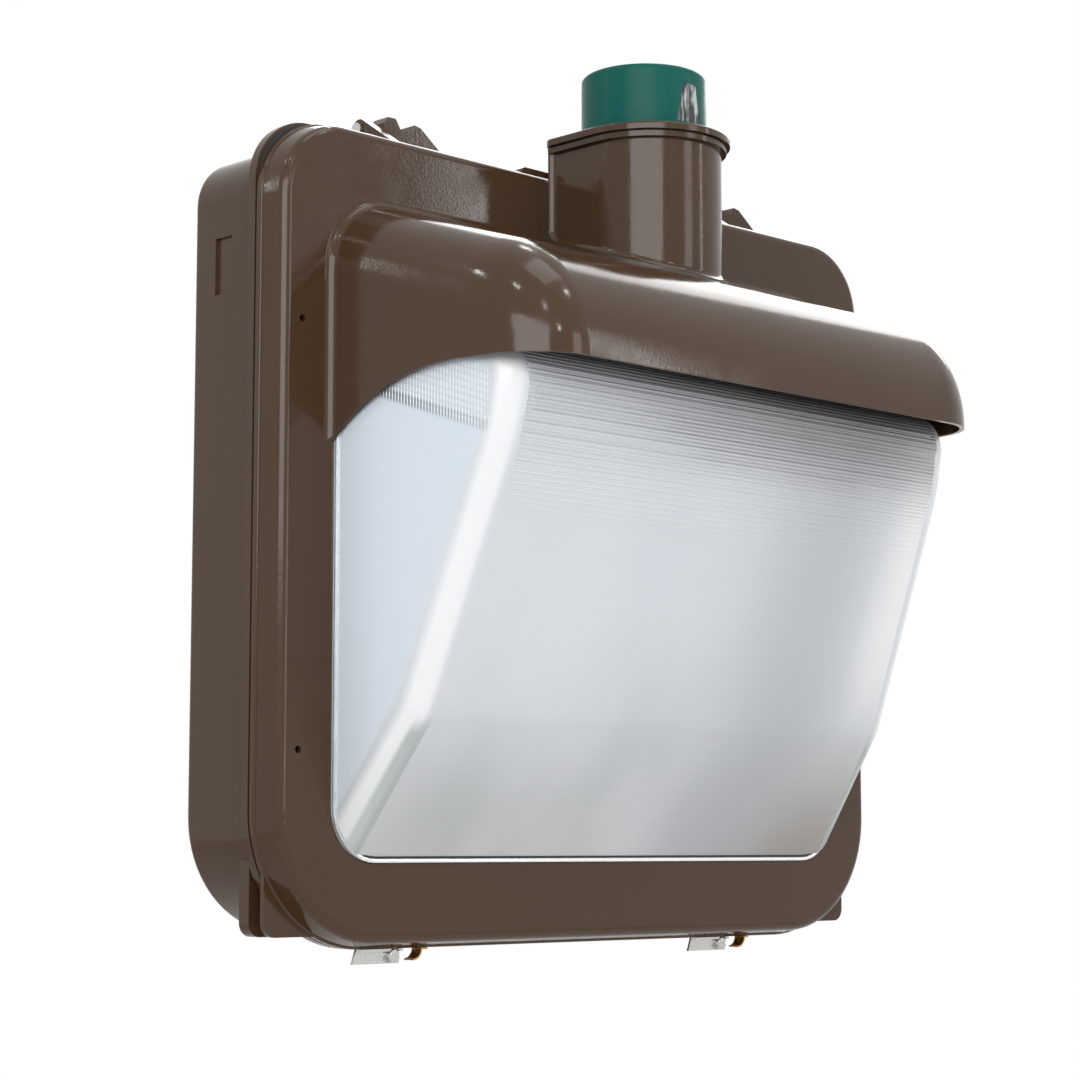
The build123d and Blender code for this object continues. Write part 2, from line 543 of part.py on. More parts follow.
def ignitor():
    """Potted can with a mounting tab at each end."""
    can = block(IGNITOR_X, (GEAR_BOSS_TOP, GEAR_BOSS_TOP + 30), IGNITOR_Z)
    can = fillet(can.edges().filter_by(Axis.Y), 5)
    for x, z in IGNITOR_SCREW_XZ:
        edge = IGNITOR_X[0] + 2 if x < sum(IGNITOR_X) / 2 else IGNITOR_X[1] - 2
        can += block((min(x - 6, edge), max(x + 6, edge)), (GEAR_BOSS_TOP, GEAR_BOSS_TOP + 2), (z - 7, z + 7))
        can -= rod_forward(SCREW_RADIUS, GEAR_BOSS_TOP - 1, GEAR_BOSS_TOP + 3, x, z)
    return can


def terminal_block():
    """Strip with three ways, screwed down at its ends."""
    left = TERMINAL_SCREW_XZ[0][0] - 7
    right = TERMINAL_SCREW_XZ[1][0] + 7
    z = TERMINAL_SCREW_XZ[0][1]
    strip = block((left, right), (GEAR_BOSS_TOP, GEAR_BOSS_TOP + 4), (z - 11, z + 11))
    for way in (-1, 0, 1):
        x = (left + right) / 2 + way * 10
        cell = block((x - 4, x + 4), (GEAR_BOSS_TOP + 3, GEAR_BOSS_TOP + 16), (z - 9, z + 9))
        strip += cell - rod_forward(2.2, GEAR_BOSS_TOP + 6, GEAR_BOSS_TOP + 17, x, z)
    for x, z_screw in TERMINAL_SCREW_XZ:
        strip -= rod_forward(SCREW_RADIUS, GEAR_BOSS_TOP - 1, GEAR_BOSS_TOP + 5, x, z_screw)
    return strip


# ---------------------------------------------------------------- reflector and lamp
def tray_points(inset):
    """Side view of the reflector's hollow: flat behind the lamp, forward over the ballast."""
    return ((REFLECTOR_FRONT_DEPTH + 2 * inset, REFLECTOR_TOP - inset),
            (REFLECTOR_BACK_DEPTH + inset, REFLECTOR_TOP - 30),
            (REFLECTOR_BACK_DEPTH + inset, BALLAST_TOP + 102),
            (REFLECTOR_LOW_DEPTH + inset, BALLAST_TOP + 4),
            (REFLECTOR_LOW_DEPTH + inset, REFLECTOR_BOTTOM + inset),
            (REFLECTOR_FRONT_DEPTH + 2 * inset, REFLECTOR_BOTTOM + inset))


def reflector():
    """Folded sheet tray with end plates and a flange along each side."""
    half = REFLECTOR_HALF_WIDTH
    sheet = REFLECTOR_SHEET
    front = REFLECTOR_FRONT_DEPTH
    tray = side_prism(tray_points(0), -half, half)
    flange = block((half - 1, half + 17), (front, front + sheet), (REFLECTOR_BOTTOM, REFLECTOR_TOP))
    tray += both_sides(flange)
    tray += block((-half, half), (front, front + sheet), (REFLECTOR_TOP - 1, REFLECTOR_TOP + 6))
    tray -= side_prism(tray_points(sheet), sheet - half, half - sheet)
    for x, z in POST_XZ:
        tray -= rod_forward(SCREW_RADIUS, front - 1, front + sheet + 1, x, z)
    return tray


SOCKET_X = LAMP_BASE_X - SOCKET_END
BRACKET_SCREW_XZ = [(SOCKET_X - 16, LAMP_Z - 16), (SOCKET_X - 16, LAMP_Z + 16)]


def lamp_socket():
    length = LAMP_BASE_LENGTH + SOCKET_END - 6
    socket = rod_across(LAMP_BASE_RADIUS + SOCKET_WALL, SOCKET_X, SOCKET_X + length, LAMP_DEPTH, LAMP_Z)
    socket = fillet(socket.edges().sort_by(Axis.X)[-1], 3)
    return socket - rod_across(LAMP_BASE_RADIUS, LAMP_BASE_X, SOCKET_X + length + 1, LAMP_DEPTH, LAMP_Z)


def socket_bracket():
    """Angle from the reflector's floor to the back of the socket."""
    floor = REFLECTOR_BACK_DEPTH + REFLECTOR_SHEET
    half = 24.0
    span = (LAMP_Z - half, LAMP_Z + half)
    arm = block((SOCKET_X - BRACKET_THICK, SOCKET_X), (floor, LAMP_DEPTH + 20), span)
    arm += block((SOCKET_X - half, SOCKET_X), (floor, floor + BRACKET_THICK), span)
    for x, z in BRACKET_SCREW_XZ:
        arm -= rod_forward(SCREW_RADIUS, floor - 1, floor + BRACKET_THICK + 1, x, z)
    return arm


def lamp_profile(grow):
    """Half outline of the bulb along X, for turning about the lamp's axis."""
    start = LAMP_BASE_X + LAMP_BASE_LENGTH
    neck = LAMP_BASE_RADIUS - 1.5 + grow
    body = LAMP_RADIUS + grow
    tip = LAMP_TIP_X + grow
    line = Polyline((start, 0), (start, neck), (start + 12, neck))
    shoulder = Spline((start + 12, neck), (start + 48, body * 0.86), (start + 92, body),
                      tangents=((1, 0), (1, 0)))
    dome = Spline((start + 92, body), (tip - 16, body * 0.72), (tip, 0), tangents=((1, 0), (0, -1)))
    return make_face(line + shoulder + dome + Line((tip, 0), (start, 0)))


def lamp():
    axis_place = Pos(0, -LAMP_DEPTH, LAMP_Z)
    bulb = revolve(lamp_profile(0), Axis.X) - revolve(lamp_profile(-1.4), Axis.X)
    start = LAMP_BASE_X + LAMP_BASE_LENGTH
    base = rod_across(LAMP_BASE_RADIUS, LAMP_BASE_X, start, LAMP_DEPTH, LAMP_Z)
    base = fillet(base.edges().sort_by(Axis.X)[0], 4)
    tube_left = start + 58
    tube_right = tube_left + 62
    tube = rod_across(9, tube_left, tube_right, LAMP_DEPTH, LAMP_Z)
    tube = fillet(tube.edges().filter_by(GeomType.CIRCLE), 5)
    frame = Part()
    for offset in (-14, 14):
        frame += rod_across(1.2, start, tube_right + 3, LAMP_DEPTH, LAMP_Z + offset)
    for x in (tube_left - 3, tube_right):
        frame += block((x, x + 3), (LAMP_DEPTH - 3, LAMP_DEPTH + 3), (LAMP_Z - 14, LAMP_Z + 14))
    return axis_place * bulb, base, tube, frame


# ---------------------------------------------------------------- door
def rim_outline(inset):
    return outline(HALF_WIDTH - inset, HALF_HEIGHT - inset, inset - HALF_HEIGHT,
                   FACE_TOP_RADIUS + DOOR_DRAFT - inset, FACE_BOTTOM_RADIUS + DOOR_DRAFT - inset)


def opening_outline(grow):
    return outline(OPENING_HALF_WIDTH + grow, OPENING_TOP + grow, OPENING_BOTTOM - grow,
                   OPENING_RADIUS + grow, OPENING_RADIUS + grow)


def hinge_finger(centre):
    """Arm from the door's top rim back over the flange to the hinge pin."""
    left = centre + FINGER_OFFSET
    right = left + FINGER_THICK
    under = PIVOT_Z - FINGER_TIP_RADIUS
    root = HALF_HEIGHT - 6
    arm = side_prism(((PIVOT_DEPTH, under), (RIM_DEPTH + 2, under), (RIM_DEPTH + 2, root),
                      (RIM_DEPTH + 15, root), (RIM_DEPTH + 15, root + 3),
                      (PIVOT_DEPTH + 3.2, PIVOT_Z + 5.6)), left, right)
    arm += rod_across(FINGER_TIP_RADIUS, left, right, PIVOT_DEPTH, PIVOT_Z)
    return arm - rod_across(PIN_RADIUS + PIN_FIT, left - 1, right + 1, PIVOT_DEPTH, PIVOT_Z)


def door_frame():
    angle = math.degrees(math.atan(DOOR_DRAFT / DOOR_THICK))
    body = FRONT * (Pos(0, 0, RIM_DEPTH) * extrude(rim_outline(0.5), DOOR_THICK, taper=angle))
    body = fillet(body.faces().sort_by(Axis.Y)[0].edges(), FACE_EDGE_RADIUS)
    bead = slab(rim_outline(0), RIM_DEPTH, RIM_DEPTH + RIM_BEAD_THICK)
    body += fillet(bead.faces().sort_by(Axis.Y)[0].edges(), RIM_BEAD_THICK / 3)
    body += both_sides(ear(RIM_DEPTH, RIM_DEPTH + EAR_RIB_THICK, EAR_BOTTOM + EAR_RIB_HEIGHT))
    pad_width, pad_depth, pad_height = TOP_PAD_SIZE
    pad = block((TOP_PAD_X - pad_width / 2, TOP_PAD_X + pad_width / 2),
                (RIM_DEPTH + 3, RIM_DEPTH + 3 + pad_depth),
                (HALF_HEIGHT + TOP_PAD_RISE - pad_height, HALF_HEIGHT + TOP_PAD_RISE))
    body += fillet(pad.edges().filter_by(Axis.Y), 3)
    for centre in HINGE_CENTRES:
        body += hinge_finger(centre)
    body -= slab(rim_outline(RIM_LIP_WIDTH), RIM_DEPTH - 1, PLATE_BACK)
    body -= slab(opening_outline(0), PLATE_BACK - 1, FACE_DEPTH + 1)
    guard_x = HALF_WIDTH - GUARD_HOLE_SIDE_MARGIN
    for x in (-guard_x, guard_x):
        for z in (-GUARD_HOLE_SPACING_Z / 2, GUARD_HOLE_SPACING_Z / 2):
            body -= rod_forward(GUARD_HOLE_RADIUS, PLATE_BACK - 1, FACE_DEPTH + 1, x, GUARD_HOLE_CENTRE_Z + z)
    for x in HOOD_SCREW_XS:
        body -= rod_forward(SCREW_RADIUS, PLATE_BACK - 1, FACE_DEPTH + 1, x, HOOD_SCREW_Z)
    for x in (-TOWER_SCREW_X, TOWER_SCREW_X):
        body -= rod_forward(SCREW_RADIUS, PLATE_BACK - 1, FACE_DEPTH + 1, x, TOWER_PASSAGE_Z)
    body -= wire_passage(PLATE_BACK - 1, FACE_DEPTH + 1)
    notch = LATCH_HEAD_RADIUS + LATCH_SCREW_CLEARANCE
    for centre in LATCH_CENTRES:
        body -= rod_forward(notch, RIM_DEPTH - 1, FACE_DEPTH, centre, LATCH_Z)
    for x, z in CLIP_XZ:
        body += rod_forward(BOSS_RADIUS, GLASS_FLANGE_BACK, PLATE_BACK + 1, x, z)
        body -= rod_forward(SCREW_RADIUS, GLASS_FLANGE_BACK - 1, PLATE_BACK, x, z)
    return body


# ---------------------------------------------------------------- glass
def refractor_profile(inset):
    """Side view of the glass: sloping top, front facet with a slight bend, kink and lower facet."""
    bottom = (FACE_DEPTH, OPENING_BOTTOM + GLASS_GAP + inset)
    top = (FACE_DEPTH, OPENING_TOP - GLASS_GAP - inset)
    kink = (FACE_DEPTH + GLASS_TOP_REACH - GLASS_KINK_SETBACK - inset, GLASS_KINK_Z + inset / 3)
    bend = (FACE_DEPTH + GLASS_TOP_REACH - GLASS_BEND_SETBACK - inset, GLASS_TOP_Z - GLASS_BEND_DROP)
    crest = (FACE_DEPTH + GLASS_TOP_REACH - inset, GLASS_TOP_Z - inset / 2)

    def run_back(outer, inner):
        slope = (inner[1] - outer[1]) / (inner[0] - outer[0])
        return (GLASS_TAIL_DEPTH, inner[1] + slope * (GLASS_TAIL_DEPTH - inner[0]))

    sheet = make_face(Polyline(run_back(kink, bottom), kink, bend, crest, run_back(crest, top), close=True))
    lower = math.atan2(bend[0] - kink[0], bend[1] - kink[1])
    upper = math.atan2(crest[0] - bend[0], crest[1] - bend[1])
    room = math.dist(bend, crest) - (GLASS_CREST_RADIUS - inset)
    bend_radius = min(GLASS_BEND_RADIUS, inset + room / math.tan((lower - upper) / 2))
    for corner, radius in ((crest, GLASS_CREST_RADIUS), (bend, bend_radius), (kink, GLASS_KINK_RADIUS)):
        sheet = fillet(sheet.vertices().sort_by_distance((*corner, 0))[0], radius - inset)
    return sheet


def refractor_body(inset):
    """Solid inside the glass's outside (or, with an inset, inside its hollow)."""
    body = extrude(SIDE * refractor_profile(inset), HALF_WIDTH, both=True)
    half = GLASS_HALF_WIDTH - inset
    far = FACE_DEPTH + GLASS_TOP_REACH + 20
    lean = (far - FACE_DEPTH) * GLASS_SIDE_LEAN
    flare = (FACE_DEPTH - GLASS_TAIL_DEPTH) * GLASS_SIDE_LEAN
    plan = make_face(Polyline((-half - flare, -GLASS_TAIL_DEPTH), (lean - half, -far),
                              (half - lean, -far), (half + flare, -GLASS_TAIL_DEPTH), close=True))
    body &= Pos(0, 0, -HALF_HEIGHT) * extrude(plan, 2 * HALF_HEIGHT)
    ridges = [edge for edge in body.edges()
              if abs(edge.tangent_at(0.5).X) < 0.5 and -edge.center().Y > GLASS_TAIL_DEPTH + 1]
    body = fillet(ridges, GLASS_RIDGE_RADIUS - inset)
    return body & slab(opening_outline(-GLASS_GAP - inset), GLASS_TAIL_DEPTH, far)


def glass_refractor():
    body = refractor_body(0) & slab(opening_outline(0), GLASS_FLANGE_BACK, HOOD_FRONT)
    body += slab(opening_outline(GLASS_FLANGE_WIDTH), GLASS_FLANGE_BACK, GLASS_FLANGE_FRONT)
    body += slab(opening_outline(-GLASS_GAP / 3), GLASS_FLANGE_FRONT - 1, FACE_DEPTH + GLASS_COLLAR)
    return body - refractor_body(GLASS_THICK)


def glass_gasket():
    ring = opening_outline(GLASS_FLANGE_WIDTH - 1) - opening_outline(1)
    return slab(ring, GLASS_FLANGE_FRONT, PLATE_BACK)


def glass_clips():
    """Clips on the door's bosses, each reaching over the back of the glass flange."""
    clips = []
    for x, z in CLIP_XZ:
        inward = (-math.copysign(1, x), 0) if abs(x) > OPENING_HALF_WIDTH else (0, 1)
        half = (CLIP_LENGTH / 2, BOSS_RADIUS) if inward[0] else (BOSS_RADIUS, CLIP_LENGTH / 2)
        centre_x = x + inward[0] * 4
        centre_z = z + inward[1] * 4
        clip = block((centre_x - half[0], centre_x + half[0]),
                     (GLASS_FLANGE_BACK - CLIP_THICK, GLASS_FLANGE_BACK),
                     (centre_z - half[1], centre_z + half[1]))
        clips.append(clip - rod_forward(SCREW_RADIUS, GLASS_FLANGE_BACK - 3, GLASS_FLANGE_BACK + 1, x, z))
    return clips


# ---------------------------------------------------------------- hood
def roof_at(depth, inset=0.0):
    """Height of the hood's roof over a depth, before the brow."""
    roof = HOOD_ROOF_Z - inset * math.hypot(1, HOOD_ROOF_SLOPE)
    return roof - HOOD_ROOF_SLOPE * (depth - FACE_DEPTH)


def hood_block(inset):
    """Solid inside the hood's outside, shrunk by an inset. It runs on behind the face and far down."""
    back = HOOD_TAIL_DEPTH
    front = HOOD_FRONT - inset
    floor = -HALF_HEIGHT - 10
    sheet = SIDE * make_face(Polyline((back, roof_at(back, inset)), (front, roof_at(front, inset)),
                                      (front, floor), (back, floor), close=True))
    body = extrude(sheet, HALF_WIDTH, both=True)
    spread = (HOOD_BASE_HALF_WIDTH - HOOD_LIP_HALF_WIDTH) / HOOD_REACH
    base = HOOD_BASE_HALF_WIDTH - inset + spread * (FACE_DEPTH - back)
    lip = HOOD_LIP_HALF_WIDTH - inset + spread * inset
    plan = make_face(Polyline((-base, -back), (-lip, -front), (lip, -front), (base, -back), close=True))
    body &= Pos(0, 0, floor - 5) * extrude(plan, 2 * HALF_HEIGHT + 20)
    brow = [edge for edge in body.edges().filter_by(Axis.X)
            if -edge.center().Y > front - 1 and edge.center().Z > 0]
    body = fillet(brow, HOOD_BROW_RADIUS - inset)
    sides = [edge for edge in body.edges() if on_hood_edge(edge, front, inset)]
    return fillet(sides, HOOD_SIDE_RADIUS - inset)


def on_hood_edge(edge, front, inset):
    """True for the edges between a cheek and the roof, the brow or the front."""
    middle = edge.position_at(0.5)
    depth = -middle.Y
    near_roof = middle.Z > roof_at(depth, inset) - HOOD_BROW_RADIUS * 0.6 and depth > HOOD_TAIL_DEPTH + 1
    near_front = depth > front - 1
    return (abs(middle.X) > HOOD_LIP_HALF_WIDTH - 30 and abs(edge.tangent_at(0.5).X) < 0.9
            and (near_roof or near_front))


def face_backing():
    """Large plate behind the door's face, to round a casting's foot against."""
    return block((-HALF_WIDTH, HALF_WIDTH), (HOOD_TAIL_DEPTH - 5, FACE_DEPTH),
                 (-HALF_HEIGHT, HALF_HEIGHT + 20))


def coved_hood(inset, radius):
    """The hood's solid with a concave cove against the face, and that face's backing."""
    joined = hood_block(inset) + face_backing()
    foot = [edge for edge in joined.edges()
            if abs(edge.center().Y + FACE_DEPTH) < 0.01 and abs(edge.bounding_box().size.Y) < 0.01
            and abs(edge.center().X) < HALF_WIDTH - 5 and abs(edge.center().Z) < HALF_HEIGHT - 5]
    return fillet(foot, radius)


def cheek_cut():
    """Everything below the lip and the curved lower edges of the cheeks."""
    front = HOOD_FRONT + 10
    back = HOOD_TAIL_DEPTH - 1
    floor = -HALF_HEIGHT - 20
    tip = (FACE_DEPTH, HOOD_CHEEK_Z)
    end = (FACE_DEPTH + HOOD_CHEEK_RUN, HOOD_LIP_Z)
    arc = ThreePointArc(tip, (tip[0] + HOOD_CHEEK_SAG[0], tip[1] + HOOD_CHEEK_SAG[1]), end)
    path = arc + Polyline(end, (front, HOOD_LIP_Z), (front, floor), (back, floor),
                          (back, HOOD_CHEEK_Z), tip)
    return extrude(SIDE * make_face(path), HALF_WIDTH, both=True)


def hood():
    shell = coved_hood(0, HOOD_COVE_RADIUS) & hood_block(-HOOD_COVE_WIDTH)
    shell -= face_backing()
    shell -= hood_block(HOOD_WALL)
    for x in HOOD_SCREW_XS:
        shell += rod_forward(HOOD_BOSS_RADIUS, FACE_DEPTH, FACE_DEPTH + HOOD_BOSS_LENGTH, x, HOOD_SCREW_Z)
        shell += block((x - 1.5, x + 1.5), (FACE_DEPTH, FACE_DEPTH + HOOD_BOSS_LENGTH - 2),
                       (HOOD_SCREW_Z, HOOD_ROOF_Z - HOOD_WALL - 3))
        shell -= rod_forward(SCREW_RADIUS, FACE_DEPTH - 1, FACE_DEPTH + HOOD_BOSS_LENGTH - 2, x, HOOD_SCREW_Z)
    return shell - cheek_cut()


# ---------------------------------------------------------------- tower
def tower_plan(grow, back=FACE_DEPTH):
    """Plan of the tower: straight sides from the face, and a half-round front."""
    radius = TOWER_RADIUS + grow
    length = TOWER_CENTRE_DEPTH - back
    straight = Pos(0, -(back + TOWER_CENTRE_DEPTH) / 2) * Rectangle(2 * radius, length)
    behind = Pos(0, radius - back) * Rectangle(4 * radius, 2 * radius)
    return straight + Pos(0, -TOWER_CENTRE_DEPTH) * Circle(radius) - behind


def tower_column(grow, bottom, top, back=FACE_DEPTH):
    return Pos(0, 0, bottom) * extrude(tower_plan(grow, back), top - bottom)


def tower_seat():
    """Solid that the tower's foot sits on: the hood with its seal, and the door's face."""
    return coved_hood(-TOWER_SEAL_THICK, TOWER_FOOT_COVE_RADIUS)


def photocontrol_tower():
    seat = tower_seat()
    tower = seat + tower_column(0, HOOD_LIP_Z, TOWER_TOP, FACE_DEPTH - 1)
    foot = [edge for edge in tower.edges() if on_tower_foot(edge)]
    tower = fillet(foot, TOWER_COVE_RADIUS) - seat
    tower &= tower_column(TOWER_COVE_WIDTH, HOOD_LIP_Z, TOWER_TOP)
    tower += tower_column(TOWER_FLANGE_LEDGE, TOWER_TOP - TOWER_FLANGE_THICK, TOWER_TOP)
    hollow = tower_column(-TOWER_WALL, HOOD_LIP_Z - 1, TOWER_TOP - TOWER_FLANGE_THICK,
                          FACE_DEPTH + TOWER_WALL)
    tower -= hollow
    tower -= rod_up(RECEPTACLE_RADIUS + 1, HOOD_ROOF_Z, TOWER_TOP + 1, 0, PHOTO_CENTRE_DEPTH)
    tower -= wire_passage(FACE_DEPTH - 1, FACE_DEPTH + TOWER_WALL + 1)
    for x in (-TOWER_SCREW_X, TOWER_SCREW_X):
        tower += rod_forward(TOWER_BOSS_RADIUS, FACE_DEPTH, FACE_DEPTH + TOWER_WALL + 4, x, TOWER_PASSAGE_Z)
        tower -= rod_forward(SCREW_RADIUS, FACE_DEPTH - 1, FACE_DEPTH + TOWER_WALL + 2, x, TOWER_PASSAGE_Z)
    return tower


def wire_passage(back, front):
    """Slot through the door's face and the tower's back wall for the receptacle's leads."""
    sheet = Pos(0, TOWER_PASSAGE_Z) * RectangleRounded(*TOWER_PASSAGE_SIZE, TOWER_PASSAGE_RADIUS)
    return slab(sheet, back, front)


def on_tower_foot(edge):
    """True for the edges where the plain column meets the hood or the face."""
    middle = edge.position_at(0.5)
    depth = -middle.Y
    beside = abs(abs(middle.X) - TOWER_RADIUS) < 0.01 and depth < TOWER_CENTRE_DEPTH + 0.01
    ahead = abs(math.hypot(middle.X, depth - TOWER_CENTRE_DEPTH) - TOWER_RADIUS) < 0.01
    upright = abs(edge.tangent_at(0.5).Z) > 0.99 and depth > FACE_DEPTH + 1
    return (beside or ahead) and middle.Z < TOWER_TOP - 1 and not upright and depth > FACE_DEPTH - 0.01


def tower_seal():
    """Bead of sealant between the tower's foot and the hood's roof."""
    ring = tower_column(TOWER_COVE_WIDTH + 0.6, HOOD_LIP_Z, HOOD_ROOF_Z + 12)
    ring -= tower_column(-TOWER_WALL, HOOD_LIP_Z - 1, HOOD_ROOF_Z + 13, FACE_DEPTH + TOWER_WALL)
    ring &= tower_seat()
    return ring - (coved_hood(0, HOOD_COVE_RADIUS) & hood_block(-HOOD_COVE_WIDTH))


def cap_plate():
    """Plate that carries the receptacle on top of the tower."""
    back = FACE_DEPTH - CAP_PLATE_BACK
    plate = tower_column(CAP_PLATE_LEDGE, CAP_PLATE_BOTTOM, CAP_PLATE_TOP, back)
    plate = fillet(plate.edges().filter_by(Axis.Z), 6)
    plate = fillet(plate.faces().sort_by(Axis.Z)[-1].edges(), 1.5)
    return plate - rod_up(RECEPTACLE_RADIUS + 0.2, CAP_PLATE_BOTTOM - 1, CAP_PLATE_TOP + 1,
                          0, PHOTO_CENTRE_DEPTH)


def cap_plate_seal():
    ring = tower_column(TOWER_FLANGE_LEDGE - 1, TOWER_TOP, CAP_PLATE_BOTTOM)
    return ring - rod_up(RECEPTACLE_RADIUS + 3, TOWER_TOP - 1, CAP_PLATE_BOTTOM + 1, 0, PHOTO_CENTRE_DEPTH)


# ---------------------------------------------------------------- receptacle and photocontrol
BLADE_ANGLES = (90.0, 210.0, 330.0)


def arc_wall(inner, outer, start, span, bottom, top):
    """Piece of a round wall about the photocontrol's axis."""
    outer_arc = CenterArc((0, 0), outer, start, span)
    inner_arc = CenterArc((0, 0), inner, start, span)
    ends = Line(outer_arc @ 1, inner_arc @ 1) + Line(inner_arc @ 0, outer_arc @ 0)
    sheet = make_face(outer_arc + inner_arc + ends)
    return Pos(0, -PHOTO_CENTRE_DEPTH, bottom) * extrude(sheet, top - bottom)


def receptacle():
    body = rod_up(RECEPTACLE_RADIUS, CAP_PLATE_TOP - RECEPTACLE_HEIGHT, CAP_PLATE_TOP, 0, PHOTO_CENTRE_DEPTH)
    body += rod_up(RECEPTACLE_LIP_RADIUS, CAP_PLATE_TOP, RECEPTACLE_TOP, 0, PHOTO_CENTRE_DEPTH)
    margin = math.degrees(BLADE_CLEARANCE / BLADE_CIRCLE_RADIUS)
    for angle in BLADE_ANGLES:
        body -= arc_wall(BLADE_CIRCLE_RADIUS - BLADE_CLEARANCE,
                         BLADE_CIRCLE_RADIUS + BLADE_THICK + BLADE_CLEARANCE,
                         angle - margin, BLADE_ARC + TWIST_RANGE + 2 * margin,
                         PHOTO_BOTTOM - BLADE_LENGTH - 2, RECEPTACLE_TOP + 1)
    return body


def photocontrol():
    """Cap, moulded base with its three blades, clear window and the sensor behind it."""
    axis = (0, PHOTO_CENTRE_DEPTH)
    cap = rod_up(PHOTO_RADIUS, PHOTO_BOTTOM, PHOTO_TOP, *axis)
    cap = fillet(cap.edges().sort_by(Axis.Z)[-1], PHOTO_TOP_RADIUS)
    cap -= rod_up(PHOTO_RADIUS - PHOTO_WALL, PHOTO_BOTTOM - 1, PHOTO_TOP - PHOTO_WALL, *axis)
    front = PHOTO_CENTRE_DEPTH + PHOTO_RADIUS
    low = WINDOW_BOTTOM_WIDTH / 2
    high = WINDOW_TOP_WIDTH / 2
    reach = front_prism(((-low, WINDOW_BOTTOM_Z), (low, WINDOW_BOTTOM_Z), (high, WINDOW_TOP_Z),
                         (-high, WINDOW_TOP_Z)), front - 8, front + 3)
    cap -= reach
    window = (rod_up(PHOTO_RADIUS - 0.2, WINDOW_BOTTOM_Z, WINDOW_TOP_Z, *axis)
              - rod_up(PHOTO_RADIUS - 0.2 - WINDOW_THICK, WINDOW_BOTTOM_Z, WINDOW_TOP_Z, *axis)) & reach
    base = rod_up(PHOTO_RADIUS - PHOTO_WALL, PHOTO_BOTTOM, PHOTO_BOTTOM + PHOTO_BASE_THICK, *axis)
    post_top = (WINDOW_BOTTOM_Z + WINDOW_TOP_Z) / 2 + 4
    base += block((-6, 6), (front - 16, front - 12), (PHOTO_BOTTOM, post_top))
    sensor = rod_forward(4.5, front - 12, front - 10, 0, post_top - 5)
    blades = [arc_wall(BLADE_CIRCLE_RADIUS, BLADE_CIRCLE_RADIUS + BLADE_THICK, angle, BLADE_ARC,
                       PHOTO_BOTTOM - BLADE_LENGTH, PHOTO_BOTTOM) for angle in BLADE_ANGLES]
    return cap, window, base, sensor, blades


# ---------------------------------------------------------------- latches
def latch_plate(centre):
    """Steel angle under the door's rim that holds the captive screw, longer to its left."""
    left = centre - LATCH_PLATE_LEFT
    right = centre + LATCH_PLATE_RIGHT
    floor = LATCH_Z - LATCH_LUG_HALF_WIDTH
    plate = front_prism(((left + 3, -HALF_HEIGHT), (right, -HALF_HEIGHT), (right, floor), (left, floor)),
                        LATCH_PLATE_BACK, LATCH_PLATE_FRONT)
    plate += block((left + 3, right), (LATCH_PLATE_BACK, RIM_DEPTH + RIM_BEAD_THICK),
                   (-HALF_HEIGHT - LATCH_PLATE_THICK, -HALF_HEIGHT))
    plate -= rod_forward(LATCH_HEAD_RADIUS + LATCH_SCREW_CLEARANCE, LATCH_PLATE_FRONT,
                         RIM_DEPTH + RIM_BEAD_THICK + 1, centre, LATCH_Z)
    return plate - rod_forward(LATCH_SCREW_RADIUS + PIN_FIT, LATCH_PLATE_BACK - 1, LATCH_PLATE_FRONT + 1,
                               centre, LATCH_Z)


def latch_spring(centre):
    """Curved leaf that hangs from the door's rim beside the screw."""
    middle = (centre + SPRING_OFFSET, -HALF_HEIGHT)
    arc = make_face(
        CenterArc(middle, SPRING_RADIUS, 270, 90)
        + Line((middle[0] + SPRING_RADIUS, middle[1]), (middle[0] + SPRING_RADIUS - SPRING_THICK, middle[1]))
        + CenterArc(middle, SPRING_RADIUS - SPRING_THICK, 270, 90)
        + Line((middle[0], middle[1] - SPRING_RADIUS + SPRING_THICK), (middle[0], middle[1] - SPRING_RADIUS)))
    back = RIM_DEPTH + 0.4
    leaf = slab(arc, back, back + SPRING_WIDTH)
    foot = block((middle[0] + SPRING_RADIUS - SPRING_THICK, middle[0] + SPRING_RADIUS + 8),
                 (back, RIM_DEPTH + RIM_BEAD_THICK), (-HALF_HEIGHT - SPRING_THICK, -HALF_HEIGHT))
    return leaf + foot


def latch_screw(centre):
    """Captive screw: slotted head, shank through the plate, clip groove, and a plain tip."""
    head_back = LATCH_PLATE_FRONT
    head_front = head_back + LATCH_HEAD_HEIGHT
    body = rod_forward(LATCH_HEAD_RADIUS, head_back, head_front, centre, LATCH_Z)
    body = fillet(body.faces().sort_by(Axis.Y)[0].edges(), 1)
    body += rod_forward(LATCH_SCREW_RADIUS, FLANGE_FRONT - LATCH_LUG_THICK, head_back, centre, LATCH_Z)
    return body - block((centre - LATCH_HEAD_RADIUS, centre + LATCH_HEAD_RADIUS),
                        (head_front - 1.5, head_front + 1), (LATCH_Z - 0.6, LATCH_Z + 0.6))


